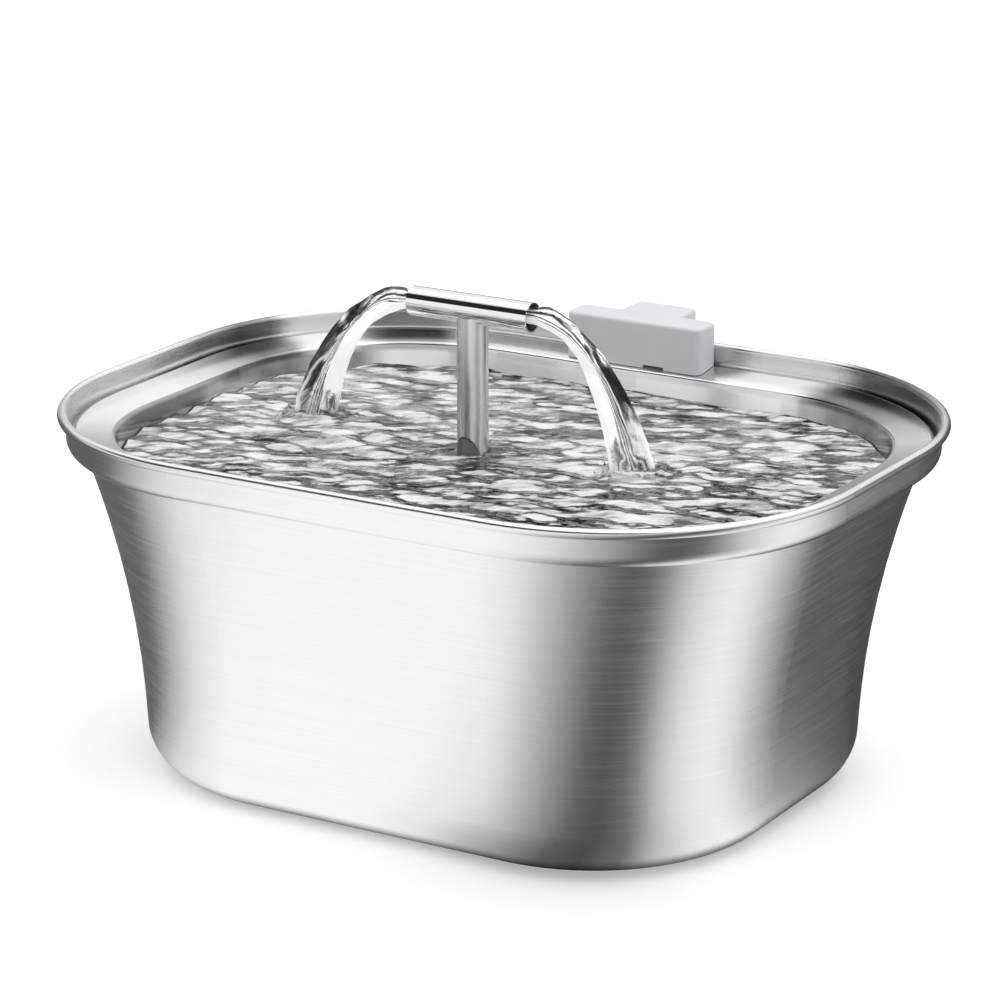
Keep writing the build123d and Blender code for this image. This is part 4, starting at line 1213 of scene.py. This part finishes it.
@dataclass
class Stream:
    """A falling stream with soft ridges."""

    side: Side
    reach: float
    outlet: Vector
    foot_y: float
    level: float = 130.0 * MM
    bore_radius: float = 3.3 * MM
    radius: float = 5.2 * MM
    foot_radius: float = 9.4 * MM
    inside: float = 5.0 * MM
    sag: float = 0.3 * MM
    steps: int = 30
    ridges: int = 7
    twist: float = 1.6
    steepness: float = 0.35
    mouth: float = 0.12
    widening: float = 2.2
    lobe: float = 0.9
    bulge_size: float = 13.0 * MM
    bulge_height: float = 1.3 * MM
    crease: float = 80.0
    finish: FallingWater = FallingWater("falling_water")

    @property
    def foot(self) -> Vector:
        """Where the stream meets the water."""
        return self._point(1.0)

    def _point(self, share: float) -> Vector:
        """A point of the stream's middle line: a fall that steepens towards the water.

        Args:
            share: 0 at the outlet, 1 at the water.

        Returns:
            The point.
        """
        turn = share * math.pi / 2
        away = self.steepness * math.sin(turn) + (1 - self.steepness) * share
        down = self.steepness * (1 - math.cos(turn)) + (1 - self.steepness) * share * share
        drop = self.outlet.z - self.level
        return self.outlet + Vector((self.side.value * self.reach * away, self.foot_y * share, -drop * down))

    def _width(self, share: float) -> float:
        """Radius of the stream at a share of its fall."""
        narrow = (self.radius - self.bore_radius) * max(1 - share / self.mouth, 0)
        return self.radius + (self.foot_radius - self.radius) * share**self.widening - narrow

    def build(self, wardrobe: Wardrobe) -> bpy.types.Object:
        """Models the stream by extruding a lobed ring along its fall.

        Args:
            wardrobe: makes the finish.

        Returns:
            The stream.
        """
        start = self.outlet - Vector((self.side.value * self.inside, 0, self.sag))
        form = Form(f"stream_{self.side.name.lower()}")
        bpy.ops.mesh.primitive_circle_add(
            vertices=self.ridges * 4, radius=self.bore_radius, fill_type="NGON", location=start,
            rotation=(0, math.radians(90), 0),
        )
        form.adopt()
        bpy.ops.mesh.select_all(action="DESELECT")
        shape = bmesh.from_edit_mesh(form.piece.data)
        for number, vertex in enumerate(shape.verts):
            vertex.select_set(number % 4 < 2)
        bmesh.update_edit_mesh(form.piece.data)
        bpy.ops.transform.resize(value=(1.0, self.lobe, self.lobe), center_override=start)
        form.select_all()
        line = [start, self.outlet] + [self._point((step + 1) / self.steps) for step in range(self.steps)]
        self._extrude_along(line)
        form.enter("OBJECT")
        self._mark_flow(form.piece.data, line)
        form.modify("SUBSURF", levels=2, render_levels=2)
        form.roughen(self.bulge_size, self.bulge_height)
        stream = form.close(wardrobe.material(self.finish), self.crease)
        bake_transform(stream)
        return stream

    def _extrude_along(self, line: list[Vector]) -> None:
        """Extrudes the selected ring along the stream's middle line.

        Args:
            line: points of the middle line, the ring's own place first.
        """
        heading = Vector((self.side.value, 0, 0))
        for number in range(1, len(line)):
            point = line[number]
            bpy.ops.mesh.extrude_region_move(TRANSFORM_OT_translate={"value": point - line[number - 1]})
            ahead = line[min(number + 1, len(line) - 1)] - line[number - 1]
            new = ahead.normalized() if number > 1 else heading
            turn = heading.rotation_difference(new)
            if turn.angle > 1e-6:
                self._turn(turn.angle, turn.axis, point)
            self._turn(math.radians(self.twist), new, point)
            widths = [self._width(max(n - 1, 0) / self.steps) for n in (number - 1, number)]
            bpy.ops.transform.resize(value=(widths[1] / widths[0],) * 3, center_override=point)
            heading = new

    @staticmethod
    def _turn(angle: float, axis: Vector, middle: Vector) -> None:
        """Turns what is selected.

        Args:
            angle: in radians.
            axis: the axis to turn about.
            middle: a point of the axis.
        """
        first = axis.orthogonal().normalized()
        rows = [list(first), list(axis.cross(first)), list(axis)]
        bpy.ops.transform.rotate(
            value=-angle, orient_axis="Z", orient_type="GLOBAL", orient_matrix=rows,
            orient_matrix_type="GLOBAL", center_override=middle,
        )

    def _mark_flow(self, mesh: bpy.types.Mesh, line: list[Vector]) -> None:
        """Notes for each point how far it faces outwards and how far along the stream it is.

        Args:
            mesh: the stream's mesh.
            line: points of the middle line.
        """
        flow = mesh.attributes.new(FallingWater.FLOW, "FLOAT_VECTOR", "POINT")
        across = Vector((0, -1, 0))
        for vertex in mesh.vertices:
            number = min(range(len(line)), key=lambda n: (line[n] - vertex.co).length)
            ahead = (line[min(number + 1, len(line) - 1)] - line[max(number - 1, 0)]).normalized()
            outer = (across.cross(ahead) * self.side.value).normalized()
            offset = (vertex.co - line[number]).normalized()
            place = (offset.dot(outer), offset.dot(across), number / len(line))
            flow.data[vertex.index].vector = place


@dataclass
class Splash:
    """The ring of broken water and the drops at a stream's foot."""

    side: Side
    foot: Vector
    foot_radius: float
    seed: int
    ring_share: float = 1.2
    ring_thickness: float = 1.5 * MM
    ring_rise: float = 1.3
    drop_count: int = 9
    drop_reach: tuple[float, float] = (1.1, 2.0)
    drop_size: tuple[float, float] = (0.6, 1.3)
    drop_shape: Point = (1.2, 1.0, 0.8)
    break_size: float = 3.2 * MM
    break_height: float = 2.4 * MM
    crease: float = 80.0
    finish: Water = Water("splashing_water", 3.0 * MM, 0.12 * MM)

    def build(self, wardrobe: Wardrobe) -> bpy.types.Object:
        """Models the ring, with the drops round it.

        Args:
            wardrobe: makes the finish.

        Returns:
            The splash.
        """
        form = Form(f"splash_{self.side.name.lower()}")
        bpy.ops.mesh.primitive_torus_add(
            major_segments=40, minor_segments=12, major_radius=self.foot_radius * self.ring_share,
            minor_radius=self.ring_thickness, location=self.foot,
        )
        form.adopt()
        form.select_all()
        bpy.ops.transform.resize(value=(1.0, 1.0, self.ring_rise), center_override=self.foot)
        scatter = random.Random(self.seed)
        for _ in range(self.drop_count):
            self._add_drop(scatter)
        form.modify("SUBSURF", levels=1, render_levels=1)
        form.roughen(self.break_size, self.break_height)
        splash = form.close(wardrobe.material(self.finish), self.crease)
        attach(splash, "tray")
        return splash

    def _add_drop(self, scatter: random.Random) -> None:
        """Adds a flattened drop somewhere round the foot.

        Args:
            scatter: draws the drop's direction, distance and size.
        """
        angle, away = scatter.uniform(0, math.tau), scatter.uniform(*self.drop_reach) * self.foot_radius
        size = scatter.uniform(*self.drop_size) * MM
        place = self.foot + Vector((math.cos(angle) * away, math.sin(angle) * away, size * 0.4))
        bpy.ops.mesh.select_all(action="DESELECT")
        bpy.ops.mesh.primitive_ico_sphere_add(subdivisions=2, radius=size, location=place)
        bpy.ops.transform.resize(value=self.drop_shape, center_override=place)


# ---------------------------------------------------------------- studio
@dataclass
class Studio:
    """Pale floor, soft light, graded reflection panels and the camera."""

    azimuth: float = 30.62
    elevation: float = 17.03
    target: Point = (0.0, 0.0, 0.111)
    distance: float = 1.6128
    lens: float = 145.62
    sensor_width: float = 36.0
    sight: float = 200.0
    shift: tuple[float, float] = (-0.00198, 0.00123)
    world_level: float = 0.62
    sun_level: float = 1.25
    sun_width: float = 75.0
    sun_tilt: tuple[float, float] = (-6.0, 4.0)
    floor_size: float = 60.0
    panel_rings: tuple[tuple[float, float, float, float], ...] = (
        (0.236, 0.170, 0.070, 0.0003),
        (0.260, 0.192, 0.074, 0.0006),
        (0.274, 0.206, 0.080, 0.0012),
        (0.370, 0.300, 0.100, 0.0120),
        (0.520, 0.450, 0.100, 0.1650),
    )

    def build(self) -> None:
        """Makes the floor, the panels, the lamp, the world and the camera."""
        self._floor()
        self._panels()
        self._lamp()
        self._world()
        self._camera()

    def _floor(self) -> None:
        """Pale floor that keeps the shadow, just under the tank."""
        clear_way()
        bpy.ops.mesh.primitive_plane_add(size=self.floor_size, location=(0, 0, -0.2 * MM))
        floor = bpy.context.object
        floor.name = "floor"
        floor.data.materials.append(surfaced("studio_floor", self._surface_floor))

    @staticmethod
    def _surface_floor(shader: Shader) -> Signal:
        """A nearly white floor, lifted to white where it is seen or reflected.

        Args:
            shader: the material's node tree.

        Returns:
            The surface's output.
        """
        mottle = shader.noise(shader.place(), 3.0, 2.0)
        return shader.principled({
            "Base Color": shader.mixed(mottle, (0.88, 0.88, 0.88, 1.0), (0.9, 0.9, 0.9, 1.0)),
            "Roughness": 0.9,
            "Specular IOR Level": 0.1,
            "Emission Color": WHITE,
            "Emission Strength": shader.ray("Camera") * 0.34 + shader.ray("Glossy") * 0.12,
        })

    def _panels(self) -> None:
        """Ring of graded panels round the fountain, seen only in reflections."""
        form = Form("panels")
        form.adopt_empty()
        for length, width, corner, height in self.panel_rings:
            form.ring(length, width, corner, height, 20)
        form.select_all()
        bpy.ops.mesh.bridge_edge_loops()
        form.enter("OBJECT")
        form.piece.data.materials.append(surfaced("graded_panels", self._light_panels))
        for kind in ("camera", "diffuse", "transmission", "volume_scatter", "shadow"):
            setattr(form.piece, f"visible_{kind}", False)

    def _light_panels(self, shader: Shader) -> Signal:
        """Light and dark bands round the fountain, darker at its foot.

        Args:
            shader: the material's node tree.

        Returns:
            The surface's output.
        """
        place = shader.place()
        height = shader.split(place)[2]
        slant = (height - 20 * MM) * 0.3
        bands = shader.ramp(shader.around(place) - slant, [
            (0.0, 0.45), (0.05, 0.25), (0.14, 0.8), (0.205, 0.85), (0.235, 0.12), (0.32, 0.1), (0.375, 0.75),
            (0.41, 1.0), (0.5, 1.0), (0.536, 0.85), (0.558, 0.58), (0.585, 0.3), (0.606, 0.11), (0.625, 0.07),
            (0.645, 0.16), (0.662, 0.55), (0.682, 0.85), (0.705, 0.95), (0.725, 0.75), (0.74, 0.55),
            (0.77, 0.33), (0.81, 0.13), (0.85, 0.06), (0.9, 0.06), (0.94, 0.3), (1.0, 0.45),
        ])
        foot = shader.ramp(height / (20 * MM), [(0.015, 0.08), (0.03, 0.2), (0.06, 1.0)])
        return shader.node("ShaderNodeEmission", {}, {"Color": bands * foot, "Strength": 1.08})

    def _lamp(self) -> None:
        """One broad soft lamp from above, tilted a little towards the front left."""
        lamp = bpy.data.lights.new("overhead", "SUN")
        lamp.energy = self.sun_level
        lamp.angle = math.radians(self.sun_width)
        overhead = bpy.data.objects.new("overhead", lamp)
        overhead.rotation_euler = (math.radians(self.sun_tilt[0]), math.radians(self.sun_tilt[1]), 0)
        bpy.context.scene.collection.objects.link(overhead)

    def _world(self) -> None:
        """White surroundings, with dark bands where metal and water mirror them."""
        world = bpy.data.worlds.new("surroundings")
        world.use_nodes = True
        bpy.context.scene.world = world
        shader = Shader(world.node_tree)
        direction = shader.node("ShaderNodeTexCoord", {}, {}, "Generated")
        height = shader.split(direction)[2] * 0.5 + 0.5
        behind = shader.ramp(height, [
            (0.5, 0.95), (0.535, 0.9), (0.552, 0.08), (0.62, 0.06), (0.66, 0.9), (0.9, 1.0), (0.96, 0.7),
            (1.0, 0.5),
        ])
        before = shader.ramp(height, [
            (0.5, 0.95), (0.675, 1.0), (0.7, 0.02), (0.88, 0.02), (0.905, 1.0), (0.96, 0.7), (1.0, 0.5),
        ])
        through = shader.ramp(height, [
            (0.5, 0.9), (0.575, 0.8), (0.595, 0.04), (0.655, 0.04), (0.68, 0.95), (0.9, 1.0), (1.0, 0.4),
        ])
        front = shader.ramp(shader.around(direction), [(0.22, 0.0), (0.28, 1.0), (0.6, 1.0), (0.66, 0.0)])
        camera, glossy, transmitted = (shader.ray(kind) for kind in ("Camera", "Glossy", "Transmission"))
        behind = transmitted * through + (1.0 - transmitted) * behind
        bands = front * before + (1.0 - front) * behind
        plain = camera + (1.0 - camera) * self.world_level
        mirrored = glossy.at_least(transmitted)
        level = mirrored * bands + (1.0 - mirrored) * plain
        surface = shader.node("ShaderNodeBackground", {}, {"Color": WHITE, "Strength": level})
        shader.node("ShaderNodeOutputWorld", {}, {"Surface": surface}, None)

    def _camera(self) -> None:
        """Camera at the fountain's front right, looking slightly down."""
        lens = bpy.data.cameras.new("camera")
        lens.lens = self.lens
        lens.sensor_width = self.sensor_width
        lens.shift_x, lens.shift_y = self.shift
        lens.clip_end = self.sight
        camera = bpy.data.objects.new("camera", lens)
        turn, rise = math.radians(self.azimuth), math.radians(self.elevation)
        back = Vector((math.sin(turn) * math.cos(rise), -math.cos(turn) * math.cos(rise), math.sin(rise)))
        camera.location = Vector(self.target) + back * self.distance
        camera.rotation_euler = (-back).to_track_quat("-Z", "Y").to_euler()
        bpy.context.scene.collection.objects.link(camera)
        bpy.context.scene.camera = camera
        bpy.context.scene.view_settings.view_transform = "Standard"


# ---------------------------------------------------------------- assembly
@dataclass
class Fountain:
    """The whole fountain: its dressed CAD pieces and its running water."""

    spout_x: float = -13.5 * MM
    spout_z: float = 188.3 * MM
    spout_half: float = 27.5 * MM
    # How far behind and above the middle of the bore the right stream leaves it.
    right_mouth: Point = (0.0, 1.9 * MM, 0.4 * MM)
    splash_seed: int = 11

    def build(self, nodes: dict[str, bpy.types.Object]) -> None:
        """Dresses the CAD pieces and models the water.

        Args:
            nodes: the CAD pieces by name.
        """
        wardrobe = Wardrobe(nodes)
        for assembly in (Vessel(), Faucet(), Clip(), FilterModule(), Pump()):
            assembly.dress(wardrobe)
        left, right = (
            Vector((self.spout_x + side.value * self.spout_half, 0, self.spout_z)) for side in Side
        )
        streams = [
            Stream(Side.LEFT, reach=57.0 * MM, outlet=left, foot_y=14.0 * MM),
            Stream(Side.RIGHT, reach=42.2 * MM, outlet=right + Vector(self.right_mouth), foot_y=4.7 * MM),
        ]
        for seed, stream in enumerate(streams, self.splash_seed):
            LOG.info("built %s", stream.build(wardrobe).name)
            splash = Splash(stream.side, stream.foot, stream.foot_radius, seed)
            LOG.info("built %s", splash.build(wardrobe).name)
        LOG.info("built %s", DishWater().build([stream.foot for stream in streams], wardrobe).name)


def main() -> None:
    """Builds the fountain and its studio."""
    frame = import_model()
    Fountain().build(frame["nodes"])
    Studio().build()


if __name__ == "__main__":
    logging.basicConfig(level=logging.INFO)
    main()
